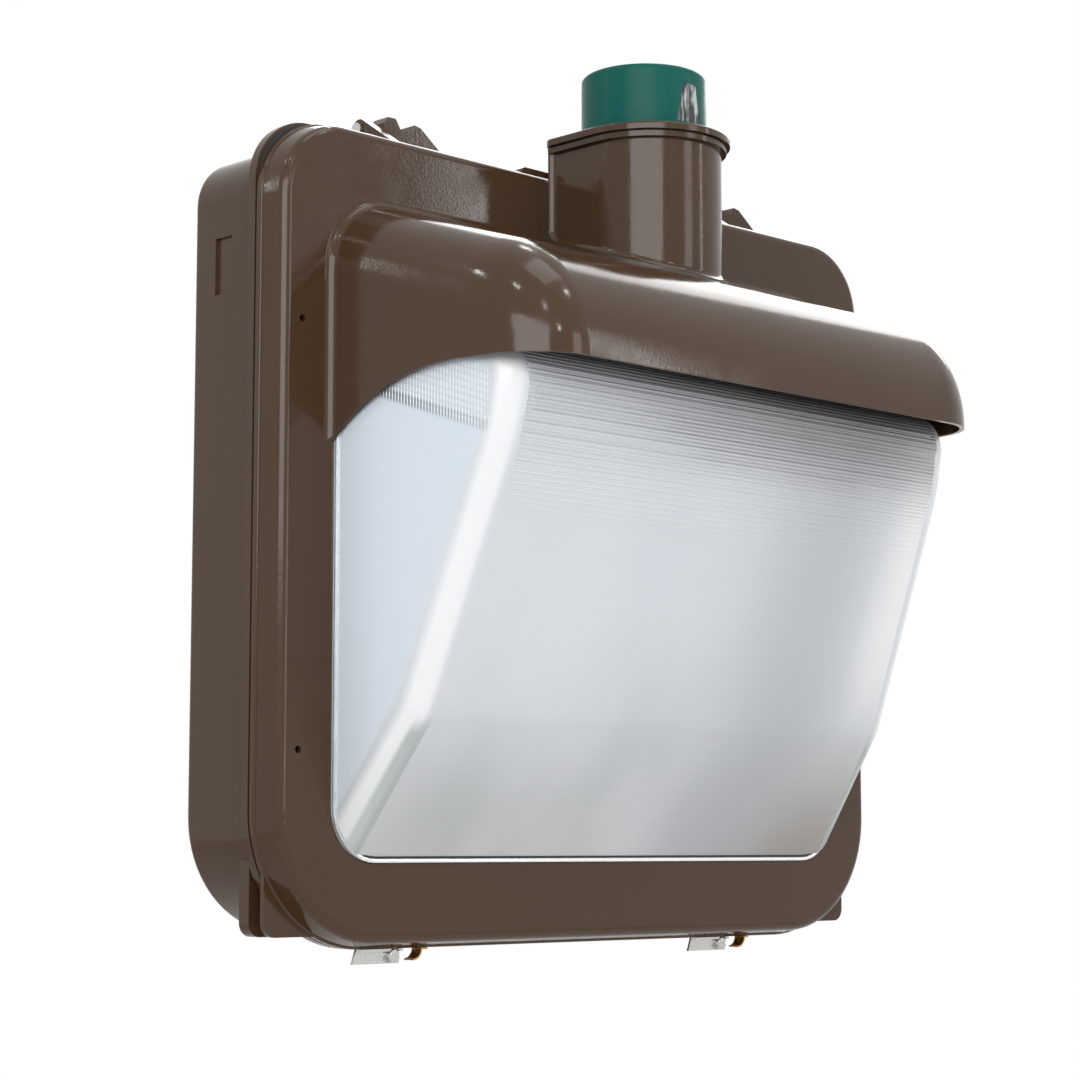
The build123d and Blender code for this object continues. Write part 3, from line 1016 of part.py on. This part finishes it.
# ---------------------------------------------------------------- write every node
def main():
    os.makedirs("parts", exist_ok=True)
    save("rear_housing", rear_housing())
    save("housing_gasket", housing_gasket())
    save("conduit_plug", conduit_plug())
    save("hinge_pins", *hinge_pins())

    core, coils, rails, bolts = ballast()
    save("ballast_core", core)
    save("ballast_coils", *coils)
    save("ballast_rails", *rails)
    save("ballast_bolts", *bolts)
    save("capacitor", capacitor())
    save("capacitor_strap", capacitor_strap())
    save("ignitor", ignitor())
    save("terminal_block", terminal_block())
    strap_seat = GEAR_BOSS_TOP + STRAP_THICK
    save("strap_screws", *[screw(x, z, strap_seat, CAST_WALL - 2) for x, z in STRAP_SCREW_XZ])
    save("ignitor_screws", *[screw(x, z, GEAR_BOSS_TOP + 2, CAST_WALL - 2) for x, z in IGNITOR_SCREW_XZ])
    save("terminal_screws", *[screw(x, z, GEAR_BOSS_TOP + 4, CAST_WALL - 2) for x, z in TERMINAL_SCREW_XZ])
    save("ground_screw", screw(*GROUND_XZ, GEAR_BOSS_TOP, CAST_WALL - 2))

    save("reflector", reflector())
    post_seat = REFLECTOR_FRONT_DEPTH + REFLECTOR_SHEET
    save("reflector_screws", *[screw(x, z, post_seat, REFLECTOR_FRONT_DEPTH - 9) for x, z in POST_XZ])
    save("lamp_socket", lamp_socket())
    save("socket_bracket", socket_bracket())
    bracket_seat = REFLECTOR_BACK_DEPTH + REFLECTOR_SHEET + BRACKET_THICK
    save("bracket_screws", *[screw(x, z, bracket_seat, REFLECTOR_BACK_DEPTH + REFLECTOR_SHEET)
                             for x, z in BRACKET_SCREW_XZ])
    bulb, base, tube, frame = lamp()
    save("lamp_bulb", bulb)
    save("lamp_base", base)
    save("arc_tube", tube)
    save("lamp_frame", frame)

    save("door_frame", door_frame())
    save("glass_refractor", glass_refractor())
    save("glass_gasket", glass_gasket())
    save("glass_clips", *glass_clips())
    clip_seat = GLASS_FLANGE_BACK - CLIP_THICK
    save("clip_screws", *[screw(x, z, clip_seat, PLATE_BACK) for x, z in CLIP_XZ])
    save("hood", hood())
    save("hood_screws", *[screw(x, HOOD_SCREW_Z, PLATE_BACK, FACE_DEPTH + HOOD_BOSS_LENGTH - 2)
                          for x in HOOD_SCREW_XS])

    save("photocontrol_tower", photocontrol_tower())
    save("tower_seal", tower_seal())
    save("tower_screws", *[screw(x, TOWER_PASSAGE_Z, PLATE_BACK, FACE_DEPTH + TOWER_WALL + 2)
                           for x in (-TOWER_SCREW_X, TOWER_SCREW_X)])
    save("cap_plate", cap_plate())
    save("cap_plate_seal", cap_plate_seal())
    save("photocontrol_receptacle", receptacle())
    cap, window, photo_base, sensor, blades = photocontrol()
    save("photocontrol_cap", cap)
    save("photocontrol_window", window)
    save("photocontrol_base", photo_base)
    save("light_sensor", sensor)
    save("photocontrol_blades", *blades)

    save("latch_plates", *[latch_plate(centre) for centre in LATCH_CENTRES])
    save("latch_springs", *[latch_spring(centre) for centre in LATCH_CENTRES])
    save("latch_screw_left", latch_screw(LATCH_CENTRES[0]))
    save("latch_screw_right", latch_screw(LATCH_CENTRES[1]))


main()
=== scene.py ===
import json
import math

import bmesh
import bpy
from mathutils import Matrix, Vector
from mathutils.bvhtree import BVHTree


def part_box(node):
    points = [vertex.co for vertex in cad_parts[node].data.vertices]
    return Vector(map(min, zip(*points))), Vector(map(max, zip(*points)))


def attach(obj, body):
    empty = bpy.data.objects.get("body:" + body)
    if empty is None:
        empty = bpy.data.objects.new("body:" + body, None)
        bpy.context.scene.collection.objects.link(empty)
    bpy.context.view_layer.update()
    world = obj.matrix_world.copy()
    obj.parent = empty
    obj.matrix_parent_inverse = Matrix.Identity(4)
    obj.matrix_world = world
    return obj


# Wall pack light: looks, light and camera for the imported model.
# Everything is in metres, in the model's own frame: the front faces -Y, and Z is up.

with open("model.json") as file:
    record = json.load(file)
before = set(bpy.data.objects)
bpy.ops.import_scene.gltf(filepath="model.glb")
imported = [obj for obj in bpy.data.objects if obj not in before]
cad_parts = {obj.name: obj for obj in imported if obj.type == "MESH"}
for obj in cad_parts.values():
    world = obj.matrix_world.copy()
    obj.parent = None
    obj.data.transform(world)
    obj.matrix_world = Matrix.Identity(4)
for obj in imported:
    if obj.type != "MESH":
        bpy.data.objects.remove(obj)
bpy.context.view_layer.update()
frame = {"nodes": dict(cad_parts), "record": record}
nodes = frame["nodes"]
scene = bpy.context.scene

# ---------------------------------------------------------------- camera
CAMERA_PLACE = (-1.1448, -1.1961, -0.1766)
CAMERA_YAW = 44.59              # degrees from straight ahead towards +X
CAMERA_PITCH = 6.71             # degrees above level
CAMERA_LENS = 86.87             # millimetres, on a sensor of the width below
SENSOR_WIDTH = 36.0

camera_data = bpy.data.cameras.new("camera")
camera_data.lens = CAMERA_LENS
camera_data.sensor_width = SENSOR_WIDTH
camera = bpy.data.objects.new("camera", camera_data)
scene.collection.objects.link(camera)
camera.location = CAMERA_PLACE
camera.rotation_euler = (math.radians(90 + CAMERA_PITCH), 0, -math.radians(CAMERA_YAW))
scene.camera = camera

# ---------------------------------------------------------------- light
scene.view_settings.view_transform = "Standard"

TARGET = Vector((0.0, -0.10, 0.02))     # every lamp points here
LAMP_DISTANCE = 2.3
WORLD_STRENGTH = 0.43                   # of the soft light from all round; the white seen behind is 1

# name: (azimuth, elevation), (width, height), watts
# The angles are degrees from straight ahead towards +X, and degrees up. The narrow strips and the small
# sparks draw the bright lines and dots on the gloss paint.
LAMPS = {
    "key_left": ((-50, 17), (2.0, 1.0), 27),
    "fill_front": ((17, 8), (0.5, 1.3), 5.5),
    "side_right": ((124, 38), (1.7, 1.3), 24),
    "top_soft": ((20, 72), (1.2, 0.8), 6),
    "low_fill": ((-27, -42), (1.4, 1.0), 1.5),
    "strip_left": ((-119, 29), (0.10, 0.5), 1.6),
    "strip_front": ((42, 14), (0.10, 1.0), 2.2),
    "spark_a": ((118, 68), (0.20, 0.12), 1.8),
    "spark_b": ((-105, 48), (0.20, 0.12), 1.8),
    "spark_c": ((-62, 51), (0.20, 0.12), 1.8),
    "spark_d": ((-25, 41), (0.20, 0.12), 1.8),
    "spark_e": ((30, 52), (0.20, 0.12), 1.8),
    "spark_f": ((-10, 26), (0.16, 0.10), 1.2),
}


def add_lamp(name, angles, size, power):
    """Rectangular lamp at the named angles from the target, turned towards it."""
    turn, rise = (math.radians(angle) for angle in angles)
    away = Vector((math.sin(turn) * math.cos(rise), -math.cos(turn) * math.cos(rise), math.sin(rise)))
    data = bpy.data.lights.new(name, "AREA")
    data.shape = "RECTANGLE"
    data.size, data.size_y = size
    data.energy = power
    lamp = bpy.data.objects.new(name, data)
    scene.collection.objects.link(lamp)
    lamp.location = TARGET + LAMP_DISTANCE * away
    lamp.rotation_euler = (-away).to_track_quat("-Z", "Y").to_euler()


for lamp_name, (lamp_angles, lamp_size, lamp_power) in LAMPS.items():
    add_lamp(lamp_name, lamp_angles, lamp_size, lamp_power)


def add_world():
    """Soft light for the object, and plain white wherever the world itself is seen or mirrored."""
    world = bpy.data.worlds.new("studio")
    scene.world = world
    world.use_nodes = True
    tree = world.node_tree
    tree.nodes.clear()
    rays = tree.nodes.new("ShaderNodeLightPath").outputs
    shown = rays["Is Camera Ray"]
    for ray in ("Is Transmission Ray", "Is Glossy Ray"):
        either = tree.nodes.new("ShaderNodeMath")
        either.operation = "MAXIMUM"
        tree.links.new(shown, either.inputs[0])
        tree.links.new(rays[ray], either.inputs[1])
        shown = either.outputs[0]
    choice = tree.nodes.new("ShaderNodeMixShader")
    tree.links.new(shown, choice.inputs[0])
    for socket, strength in ((1, WORLD_STRENGTH), (2, 1.0)):
        background = tree.nodes.new("ShaderNodeBackground")
        background.inputs["Color"].default_value = (1, 1, 1, 1)
        background.inputs["Strength"].default_value = strength
        tree.links.new(background.outputs[0], choice.inputs[socket])
    output = tree.nodes.new("ShaderNodeOutputWorld")
    tree.links.new(choice.outputs[0], output.inputs["Surface"])


add_world()


# ---------------------------------------------------------------- materials
class Surface:
    """A Principled material, with short calls for the nodes that give it detail."""

    def __init__(self, name, color, roughness, **sockets):
        self.material = bpy.data.materials.new(name)
        self.material.use_nodes = True
        self.tree = self.material.node_tree
        self.shader = self.tree.nodes["Principled BSDF"]
        self.shader.inputs["Base Color"].default_value = (*color, 1)
        self.shader.inputs["Roughness"].default_value = roughness
        for socket, value in sockets.items():
            self.shader.inputs[socket.replace("_", " ")].default_value = value
        self.place = self.tree.nodes.new("ShaderNodeTexCoord").outputs["Object"]

    def link(self, source, target):
        self.tree.links.new(source, target)

    def noise(self, scale, detail=3.0, stretch=(1, 1, 1)):
        node = self.tree.nodes.new("ShaderNodeTexNoise")
        node.inputs["Scale"].default_value = scale
        node.inputs["Detail"].default_value = detail
        source = self.place
        if stretch != (1, 1, 1):
            mapping = self.tree.nodes.new("ShaderNodeMapping")
            mapping.inputs["Scale"].default_value = stretch
            self.link(source, mapping.inputs["Vector"])
            source = mapping.outputs["Vector"]
        self.link(source, node.inputs["Vector"])
        return node.outputs["Fac"]

    def wave(self, scale, axis, distortion=0.0):
        node = self.tree.nodes.new("ShaderNodeTexWave")
        node.bands_direction = axis
        node.inputs["Scale"].default_value = scale
        node.inputs["Distortion"].default_value = distortion
        self.link(self.place, node.inputs["Vector"])
        return node.outputs["Fac"]

    def math(self, operation, first, second=None, clamp=False):
        node = self.tree.nodes.new("ShaderNodeMath")
        node.operation = operation
        node.use_clamp = clamp
        for socket, value in zip(node.inputs, (first, second)):
            if value is None:
                continue
            if isinstance(value, (int, float)):
                socket.default_value = value
            else:
                self.link(value, socket)
        return node.outputs[0]

    def product(self, first, *others):
        for factor in others:
            first = self.math("MULTIPLY", first, factor)
        return first

    def step(self, value, low, high, to_low=0.0, to_high=1.0):
        """Smooth change from to_low to to_high while the value goes from low to high."""
        node = self.tree.nodes.new("ShaderNodeMapRange")
        node.interpolation_type = "SMOOTHSTEP"
        node.inputs["From Min"].default_value = low
        node.inputs["From Max"].default_value = high
        node.inputs["To Min"].default_value = to_low
        node.inputs["To Max"].default_value = to_high
        self.link(value, node.inputs["Value"])
        return node.outputs["Result"]

    def fall(self, value, low, high, to_high=0.0):
        return self.step(value, low, high, 1.0, to_high)

    def split(self, vector=None):
        node = self.tree.nodes.new("ShaderNodeSeparateXYZ")
        self.link(vector or self.place, node.inputs[0])
        return node.outputs

    def mix(self, factor, first, second):
        node = self.tree.nodes.new("ShaderNodeMix")
        node.data_type = "RGBA"
        self.link(factor, node.inputs["Factor"])
        for socket, value in ((node.inputs[6], first), (node.inputs[7], second)):
            if isinstance(value, tuple):
                socket.default_value = (*value, 1)
            else:
                self.link(value, socket)
        return node.outputs[2]

    def over(self, base, color, *masks):
        """The base with a colour laid over it, as far as all the masks together let it."""
        return self.mix(self.product(*masks), base, color)

    def color(self, source):
        self.link(source, self.shader.inputs["Base Color"])

    def roughness(self, source):
        self.link(source, self.shader.inputs["Roughness"])

    def bump(self, height, distance, strength):
        node = self.tree.nodes.new("ShaderNodeBump")
        node.inputs["Distance"].default_value = distance
        node.inputs["Strength"].default_value = strength
        self.link(height, node.inputs["Height"])
        self.link(node.outputs["Normal"], self.shader.inputs["Normal"])


def dark_bronze_paint():
    """Gloss powder coat: slow colour drift, faint orange peel and fine roughness change."""
    paint = Surface("bronze_paint", (0.060, 0.030, 0.014), 0.12, IOR=1.45, Specular_IOR_Level=0.38)
    paint.color(paint.mix(paint.noise(9.0, 4.0), (0.065, 0.033, 0.016), (0.053, 0.027, 0.012)))
    paint.roughness(paint.step(paint.noise(60.0, 4.0), 0.3, 0.7, 0.09, 0.16))
    paint.bump(paint.noise(520.0, 2.0), 0.00010, 0.4)
    return paint.material


GLASS_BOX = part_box("glass_refractor")
GLASS_FLANGE = 0.009            # hidden flange of the glass, beyond the door's opening
OPENING_LEFT, OPENING_RIGHT = GLASS_BOX[0][0] + GLASS_FLANGE, GLASS_BOX[1][0] - GLASS_FLANGE
OPENING_LOW, OPENING_HIGH = GLASS_BOX[0][2] + GLASS_FLANGE, GLASS_BOX[1][2] - GLASS_FLANGE
KINK_Z = OPENING_LOW + 0.081    # where the front facet bends back
GLASS_FOOT_Z = -0.19            # where the body's painted shade starts, just below the opening
GLASS_SHOULDER_Z = -0.03        # above this the body has its full pale colour
PRISM_SCALE = 150.0             # of the wave textures that draw the prisms
PRISM_PITCH = 2 * math.pi / (20 * PRISM_SCALE)      # length of one such wave
BAND_SLOPE = 0.358              # height lost per length forward by the prism rows on the sides
BAND_OFFSET = 0.1168            # where their lowest row lies: z - slope * y equals this


def refractor_glass():
    """Moulded glass: milky facets, rows of small prisms near the top and a clear ridge, with painted
    highlight and painted shade in its colour.
    """
    glass = Surface("refractor_glass", (0.80, 0.84, 0.88), 0.26, IOR=1.5, Transmission_Weight=0.22)
    x, y, z = glass.split()[:3]
    normal = glass.tree.nodes.new("ShaderNodeTexCoord").outputs["Normal"]
    # 0 on the front facet, near 1 on the side facets, and between on the round ridges that join them
    side = glass.math("ABSOLUTE", glass.split(normal)[0])
    front = glass.fall(side, 0.02, 0.12)
    ridge = glass.product(glass.step(side, 0.10, 0.36), glass.fall(side, 0.78, 0.96))

    # milky body with painted shade: greyer towards the bottom, and a warm grey shade at the lower right
    tint = glass.mix(glass.step(z, GLASS_FOOT_Z, GLASS_SHOULDER_Z), (0.54, 0.56, 0.56), (0.78, 0.82, 0.87))
    cloud = glass.noise(6.0, 3.0, (1.0, 1.0, 0.35))
    tint = glass.over(tint, (0.88, 0.90, 0.93), glass.step(cloud, 0.35, 0.65), 0.5)
    tint = glass.over(tint, (0.33, 0.29, 0.25),
                      glass.step(x, 0.02, 0.19), glass.fall(z, GLASS_FOOT_Z, -0.09), 0.85)

    # painted light: an upright grey shade right of the middle and a painted white highlight at the right
    # end; blue side facets
    tint = glass.over(tint, (0.50, 0.52, 0.56),
                      glass.step(x, -0.02, 0.10), glass.fall(x, 0.10, 0.17), 0.60)
    tint = glass.over(tint, (1.0, 1.0, 1.0),
                      glass.step(x, 0.14, 0.18), glass.step(z, -0.12, -0.04), front)
    tint = glass.over(tint, (0.80, 0.90, 1.0), glass.step(side, 0.95, 0.99), 0.7)

    # painted shade: grey under the hood, and rows of prisms there: short dark ticks
    tint = glass.over(tint, (0.27, 0.26, 0.25),
                      glass.step(z, 0.025, 0.075), glass.step(x, -0.16, 0.06, 0.25, 1.0), front, 0.62)
    rows = glass.wave(PRISM_SCALE, "Z")
    columns = glass.wave(PRISM_SCALE, "X", 1.5)
    ticks = glass.product(glass.step(rows, 0.45, 0.75), glass.step(columns, 0.25, 0.7))
    upper = glass.product(glass.step(z, 0.012, 0.060), front)
    patch = glass.product(glass.step(glass.noise(9.0, 3.0, (0.4, 1.0, 3.0)), 0.42, 0.68),
                          glass.step(x, -0.20, 0.10, 0.45, 1.6))
    cover = glass.math("ADD", patch, 0.3, clamp=True)
    tint = glass.over(tint, (0.09, 0.09, 0.10), ticks, upper, cover, 0.8)

    # the sides: one dark row of upright ticks that slopes down to the ridge, painted shade of the hood's
    # edge seen through the glass, and paler ones above it
    above = glass.math("SUBTRACT", z, glass.product(y, BAND_SLOPE))
    above = glass.math("SUBTRACT", above, BAND_OFFSET)
    shade_band = glass.product(glass.step(above, -0.0045, -0.0010), glass.fall(above, 0.0015, 0.0050, 0.22))
    upright = glass.product(glass.step(glass.wave(PRISM_SCALE, "Y"), 0.35, 0.65),
                            glass.step(side, 0.80, 0.96))
    fading = glass.step(y, -0.200, -0.120, 0.35, 1.0)
    tint = glass.over(tint, (0.06, 0.08, 0.11), shade_band, upright, fading, 0.9)

    # painted highlight: the ridge is nearly white; below the kink it greys with painted shade, and its
    # inner half is a darker strip of painted shade
    tint = glass.over(tint, (0.98, 0.99, 1.0), ridge, 0.9)
    shaded_strip = glass.product(glass.step(side, 0.03, 0.10), glass.fall(side, 0.45, 0.62))
    tint = glass.over(tint, (0.46, 0.50, 0.50), shaded_strip, glass.fall(z, KINK_Z - 0.012, KINK_Z), 0.85)
    tint = glass.over(tint, (0.66, 0.70, 0.70), glass.fall(z, -0.185, KINK_Z), ridge, 0.45)
    glass.color(tint)

    # ribs under the hood and fine stipple, both absent from the smooth ridge
    stipple = glass.noise(700.0, 2.0)
    height = glass.math("ADD", glass.product(rows, upper), glass.product(stipple, 0.4))
    glass.bump(glass.product(height, glass.math("SUBTRACT", 1.0, ridge)), 0.0006, 0.5)
    return glass.material


def simple(name, color, roughness, grain_scale, grain_depth, stretch=(1, 1, 1), **sockets):
    """Plain engineering finish: colour and roughness vary with a grain that also lifts the surface."""
    finish = Surface(name, color, roughness, **sockets)
    grain = finish.noise(grain_scale, 4.0, stretch)
    darker = tuple(channel * 0.82 for channel in color)
    finish.color(finish.mix(finish.noise(24.0), color, darker))
    finish.roughness(finish.step(grain, 0.3, 0.7, roughness * 0.8, roughness * 1.25))
    finish.bump(grain, grain_depth, 0.6)
    return finish.material


def coil_varnish():
    """Enamelled wire in close turns under varnish."""
    coil = Surface("coil_copper", (0.30, 0.09, 0.03), 0.25, Metallic=0.4)
    turns = coil.wave(330.0, "Z")
    coil.color(coil.mix(turns, (0.12, 0.035, 0.012), (0.38, 0.13, 0.045)))
    coil.bump(turns, 0.0006, 0.9)
    return coil.material


def laminations():
    """Varnished edges of thin steel sheets."""
    core = Surface("core_steel", (0.05, 0.05, 0.055), 0.45, Metallic=0.6)
    sheets = core.wave(300.0, "Y")
    core.color(core.mix(sheets, (0.025, 0.025, 0.028), (0.10, 0.10, 0.105)))
    core.bump(sheets, 0.0003, 0.6)
    return core.material


def green_cap():
    """Moulded cap: deep green, with a painted highlight that brightens it towards its right edge."""
    cap = Surface("photocontrol_green", (0.004, 0.085, 0.072), 0.22, IOR=1.49, Specular_IOR_Level=0.10)
    x = cap.split()[0]
    body = cap.mix(cap.noise(30.0, 2.0), (0.002, 0.074, 0.072), (0.010, 0.115, 0.088))
    # painted highlight: a lighter green along the right edge
    cap.color(cap.mix(cap.step(x, 0.016, 0.028), body, (0.070, 0.300, 0.130)))
    cap.roughness(cap.step(cap.noise(260.0), 0.3, 0.7, 0.24, 0.33))
    cap.bump(cap.noise(420.0, 2.0), 0.00008, 0.4)
    return cap.material


def window_plastic():
    """Clear plastic over a dark inside, with upright pale streaks of painted highlight that also lift the
    surface a little.
    """
    window = Surface("clear_plastic", (0.10, 0.11, 0.12), 0.10, IOR=1.49, Transmission_Weight=0.25)
    highlight_streaks = window.step(window.noise(210.0, 2.0, (1.0, 1.0, 0.22)), 0.50, 0.62)
    # painted highlights: pale streaks on the dark window
    window.color(window.mix(highlight_streaks, (0.030, 0.034, 0.038), (0.62, 0.66, 0.66)))
    window.bump(highlight_streaks, 0.0004, 0.6)
    return window.material


finishes = {
    "bronze_paint": dark_bronze_paint(),
    "refractor_glass": refractor_glass(),
    "coil_copper": coil_varnish(),
    "core_steel": laminations(),
    "photocontrol_green": green_cap(),
    "clear_plastic": window_plastic(),
}

# name: colour, roughness, grain scale, grain depth in metres, grain stretch, other sockets of the shader
EVEN = (1, 1, 1)
METAL = {"Metallic": 1.0}
SIMPLE_FINISHES = {
    "gasket_rubber": ((0.018, 0.018, 0.018), 0.7, 900.0, 0.0002, EVEN, {}),
    "sealant": ((0.045, 0.034, 0.026), 0.45, 400.0, 0.0003, EVEN, {}),
    "steel_zinc": ((0.52, 0.52, 0.50), 0.32, 600.0, 0.0001, EVEN, METAL),
    "stainless": ((0.60, 0.59, 0.57), 0.24, 500.0, 0.00008, (1, 1, 6), METAL),
    "spring_bronze": ((0.55, 0.30, 0.11), 0.28, 500.0, 0.00008, EVEN, METAL),
    "black_plastic": ((0.022, 0.022, 0.024), 0.42, 700.0, 0.0001, EVEN, {}),
    "contact_brass": ((0.70, 0.50, 0.22), 0.25, 500.0, 0.00008, EVEN, METAL),
    "porcelain": ((0.78, 0.76, 0.70), 0.14, 90.0, 0.0001, EVEN, {"IOR": 1.55}),
    "lamp_glass": ((0.95, 0.97, 0.98), 0.04, 60.0, 0.00008, EVEN,
                   {"Transmission_Weight": 0.95, "IOR": 1.47}),
    "arc_tube_ceramic": ((0.85, 0.82, 0.75), 0.3, 200.0, 0.0001, EVEN, {"Transmission_Weight": 0.4}),
    "reflector_sheet": ((0.82, 0.82, 0.83), 0.22, 90.0, 0.0006, EVEN, METAL),
    "capacitor_can": ((0.62, 0.62, 0.62), 0.3, 350.0, 0.0001, (1, 1, 8), METAL),
    "ground_green": ((0.02, 0.16, 0.04), 0.35, 500.0, 0.0001, EVEN, {}),
}
for finish_name, (*looks, sockets) in SIMPLE_FINISHES.items():
    finishes[finish_name] = simple(finish_name, *looks, **sockets)

for entry in frame["record"]["subparts"]:
    node_mesh = nodes[entry["node"]].data
    node_mesh.materials.clear()
    node_mesh.materials.append(finishes[entry["material_slot"]])

# ---------------------------------------------------------------- pieces that the CAD leaves plain
FORWARD = Vector((0, -1, 0))
FACE_DEPTH = 0.090              # from the wall to the door's face
OPENING_RADIUS = 0.031          # of the opening's corners

CORNER_STEPS = 10               # straight runs in a rounded corner
BEAD_SIDES = 8
LIP_INSET, LIP_PROUD, LIP_RADIUS = 0.0016, 0.0012, 0.0014
GROOVE_INSET, GROOVE_PROUD, GROOVE_RADIUS = 0.0034, 0.0016, 0.0008

PRISM_SINK = 0.0002             # how far each prism's base lies inside the glass

RIB_ROWS = 26
RIB_TOP_Z = 0.0815              # of the highest row
RIB_ROW_PITCH = 0.003
RIB_HALF_WIDTH = 0.0010
RIB_HEIGHT = 0.0006             # of the highest row
RIB_HEIGHT_LOSS = 0.00045       # from the highest row to one past the lowest
RIB_LEFT = -0.185
RIB_STEP = 0.005
RIB_STATIONS = 75

TICK_ROWS = 9
TICK_ROW_PITCH = 0.0038
TICK_COLUMNS = 44
TICK_BACK = 0.108               # how far in front of the wall the first column is
TICK_HALF_WIDTH = 0.0005
TICK_HALF_LENGTH = 0.0014
TICK_HEIGHT = 0.0006


def add_piece(name, points, faces, body, slot, smooth=True):
    mesh = bpy.data.meshes.new(name)
    mesh.from_pydata(points, [], faces)
    mesh.materials.append(finishes[slot])
    if smooth:
        mesh.shade_smooth()
    piece = bpy.data.objects.new(name, mesh)
    scene.collection.objects.link(piece)
    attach(piece, body)


def opening_path(inset, depth):
    """Closed front-view path inside the door's opening, with rounded corners."""
    left, right = OPENING_LEFT + inset, OPENING_RIGHT - inset
    low, high = OPENING_LOW + inset, OPENING_HIGH - inset
    radius = OPENING_RADIUS - inset
    path = []
    for x, z, start in ((right - radius, low + radius, -90), (right - radius, high - radius, 0),
                        (left + radius, high - radius, 90), (left + radius, low + radius, 180)):
        for step in range(CORNER_STEPS + 1):
            angle = math.radians(start + 90 * step / CORNER_STEPS)
            path.append(Vector((x + radius * math.cos(angle), -depth, z + radius * math.sin(angle))))
    return path


def add_bead(name, path, radius, body, slot):
    """Closed tube along a flat front-view path."""
    points = []
    faces = []
    count = len(path)
    for index, place in enumerate(path):
        after = (index + 1) % count
        out = (path[after] - path[index - 1]).normalized().cross(FORWARD)
        for side in range(BEAD_SIDES):
            angle = 2 * math.pi * side / BEAD_SIDES
            points.append(place + radius * (math.cos(angle) * out + math.sin(angle) * FORWARD))
            beside = (side + 1) % BEAD_SIDES
            faces.append((index * BEAD_SIDES + side, index * BEAD_SIDES + beside,
                          after * BEAD_SIDES + beside, after * BEAD_SIDES + side))
    add_piece(name, points, faces, body, slot)


add_bead("glass_lip", opening_path(LIP_INSET, FACE_DEPTH + LIP_PROUD), LIP_RADIUS, "door", "lamp_glass")
# painted shade: a dark rubber bead just inside the glass's lip stands for the shade in the groove there
add_bead("glass_groove_shade", opening_path(GROOVE_INSET, FACE_DEPTH + GROOVE_PROUD), GROOVE_RADIUS,
         "door", "gasket_rubber")

glass_mesh = nodes["glass_refractor"].data
glass_tree = BVHTree.FromPolygons([corner.co for corner in glass_mesh.vertices],
                                  [face.vertices for face in glass_mesh.polygons])


def triangle_sides(start):
    """Faces between a triangle of points and the next one in the list."""
    return [(start + side, start + after, start + 3 + after, start + 3 + side)
            for side, after in ((0, 1), (1, 2), (2, 0))]


def add_front_prisms():
    """Rows of ribs across the front of the glass, highest just under the hood."""
    points = []
    faces = []
    for row in range(RIB_ROWS):
        z = RIB_TOP_Z - RIB_ROW_PITCH * row
        height = RIB_HEIGHT - RIB_HEIGHT_LOSS * row / RIB_ROWS
        first = len(points)
        for station in range(RIB_STATIONS):
            x = RIB_LEFT + RIB_STEP * station
            place, normal = glass_tree.ray_cast(Vector((x, -1, z)), Vector((0, 1, 0)))[:2]
            if place is None or abs(normal.x) >= 0.05:      # only the front facet has ribs
                continue
            up = normal.cross(Vector((1, 0, 0))).normalized()
            base = place - normal * PRISM_SINK
            points += [base - up * RIB_HALF_WIDTH, base + up * RIB_HALF_WIDTH, place + normal * height]
        last = len(points) - 3
        for start in range(first, last, 3):
            faces += triangle_sides(start)
        faces += [(first + 2, first + 1, first), (last, last + 1, last + 2)]
    add_piece("prism_rows", points, faces, "door", "refractor_glass", smooth=False)


def add_side_prisms():
    """Short upright prisms on both side facets, in rows that follow the slope of the glass's top."""
    points = []
    faces = []
    first_column = round(TICK_BACK / PRISM_PITCH)
    for side in (-1, 1):
        for row in range(TICK_ROWS):
            for column in range(TICK_COLUMNS):
                y = -PRISM_PITCH * (first_column + column)
                z = BAND_OFFSET + BAND_SLOPE * y + TICK_ROW_PITCH * row
                place, normal = glass_tree.ray_cast(Vector((side, y, z)), Vector((-side, 0, 0)))[:2]
                if place is None or abs(normal.x) < 0.96:   # only the side facets have ticks
                    continue
                ahead = normal.cross(Vector((0, 0, 1))).normalized()
                up = ahead.cross(normal)
                start = len(points)
                for rise in (-TICK_HALF_LENGTH, TICK_HALF_LENGTH):
                    base = place + up * rise - normal * PRISM_SINK
                    points += [base - ahead * TICK_HALF_WIDTH, base + ahead * TICK_HALF_WIDTH,
                               base + normal * TICK_HEIGHT]
                faces += [(start + 2, start + 1, start), (start + 3, start + 4, start + 5)]
                faces += triangle_sides(start)
    add_piece("prism_ticks", points, faces, "door", "refractor_glass", smooth=False)


add_front_prisms()
add_side_prisms()

# ---------------------------------------------------------------- floor
FLOOR_PLACE = (0, -0.4, -0.75)
FLOOR_HALF_WIDTH = 2.2

floor_mesh = bpy.data.meshes.new("floor")
sheet = bmesh.new()
bmesh.ops.create_grid(sheet, x_segments=8, y_segments=8, size=FLOOR_HALF_WIDTH)
sheet.to_mesh(floor_mesh)
sheet.free()
floor = bpy.data.objects.new("floor", floor_mesh)
scene.collection.objects.link(floor)
floor.location = FLOOR_PLACE
floor_finish = Surface("floor_white", (0.86, 0.86, 0.86), 0.8)
floor_finish.color(floor_finish.mix(floor_finish.noise(2.0), (0.87, 0.87, 0.87), (0.85, 0.85, 0.85)))
floor_mesh.materials.append(floor_finish.material)
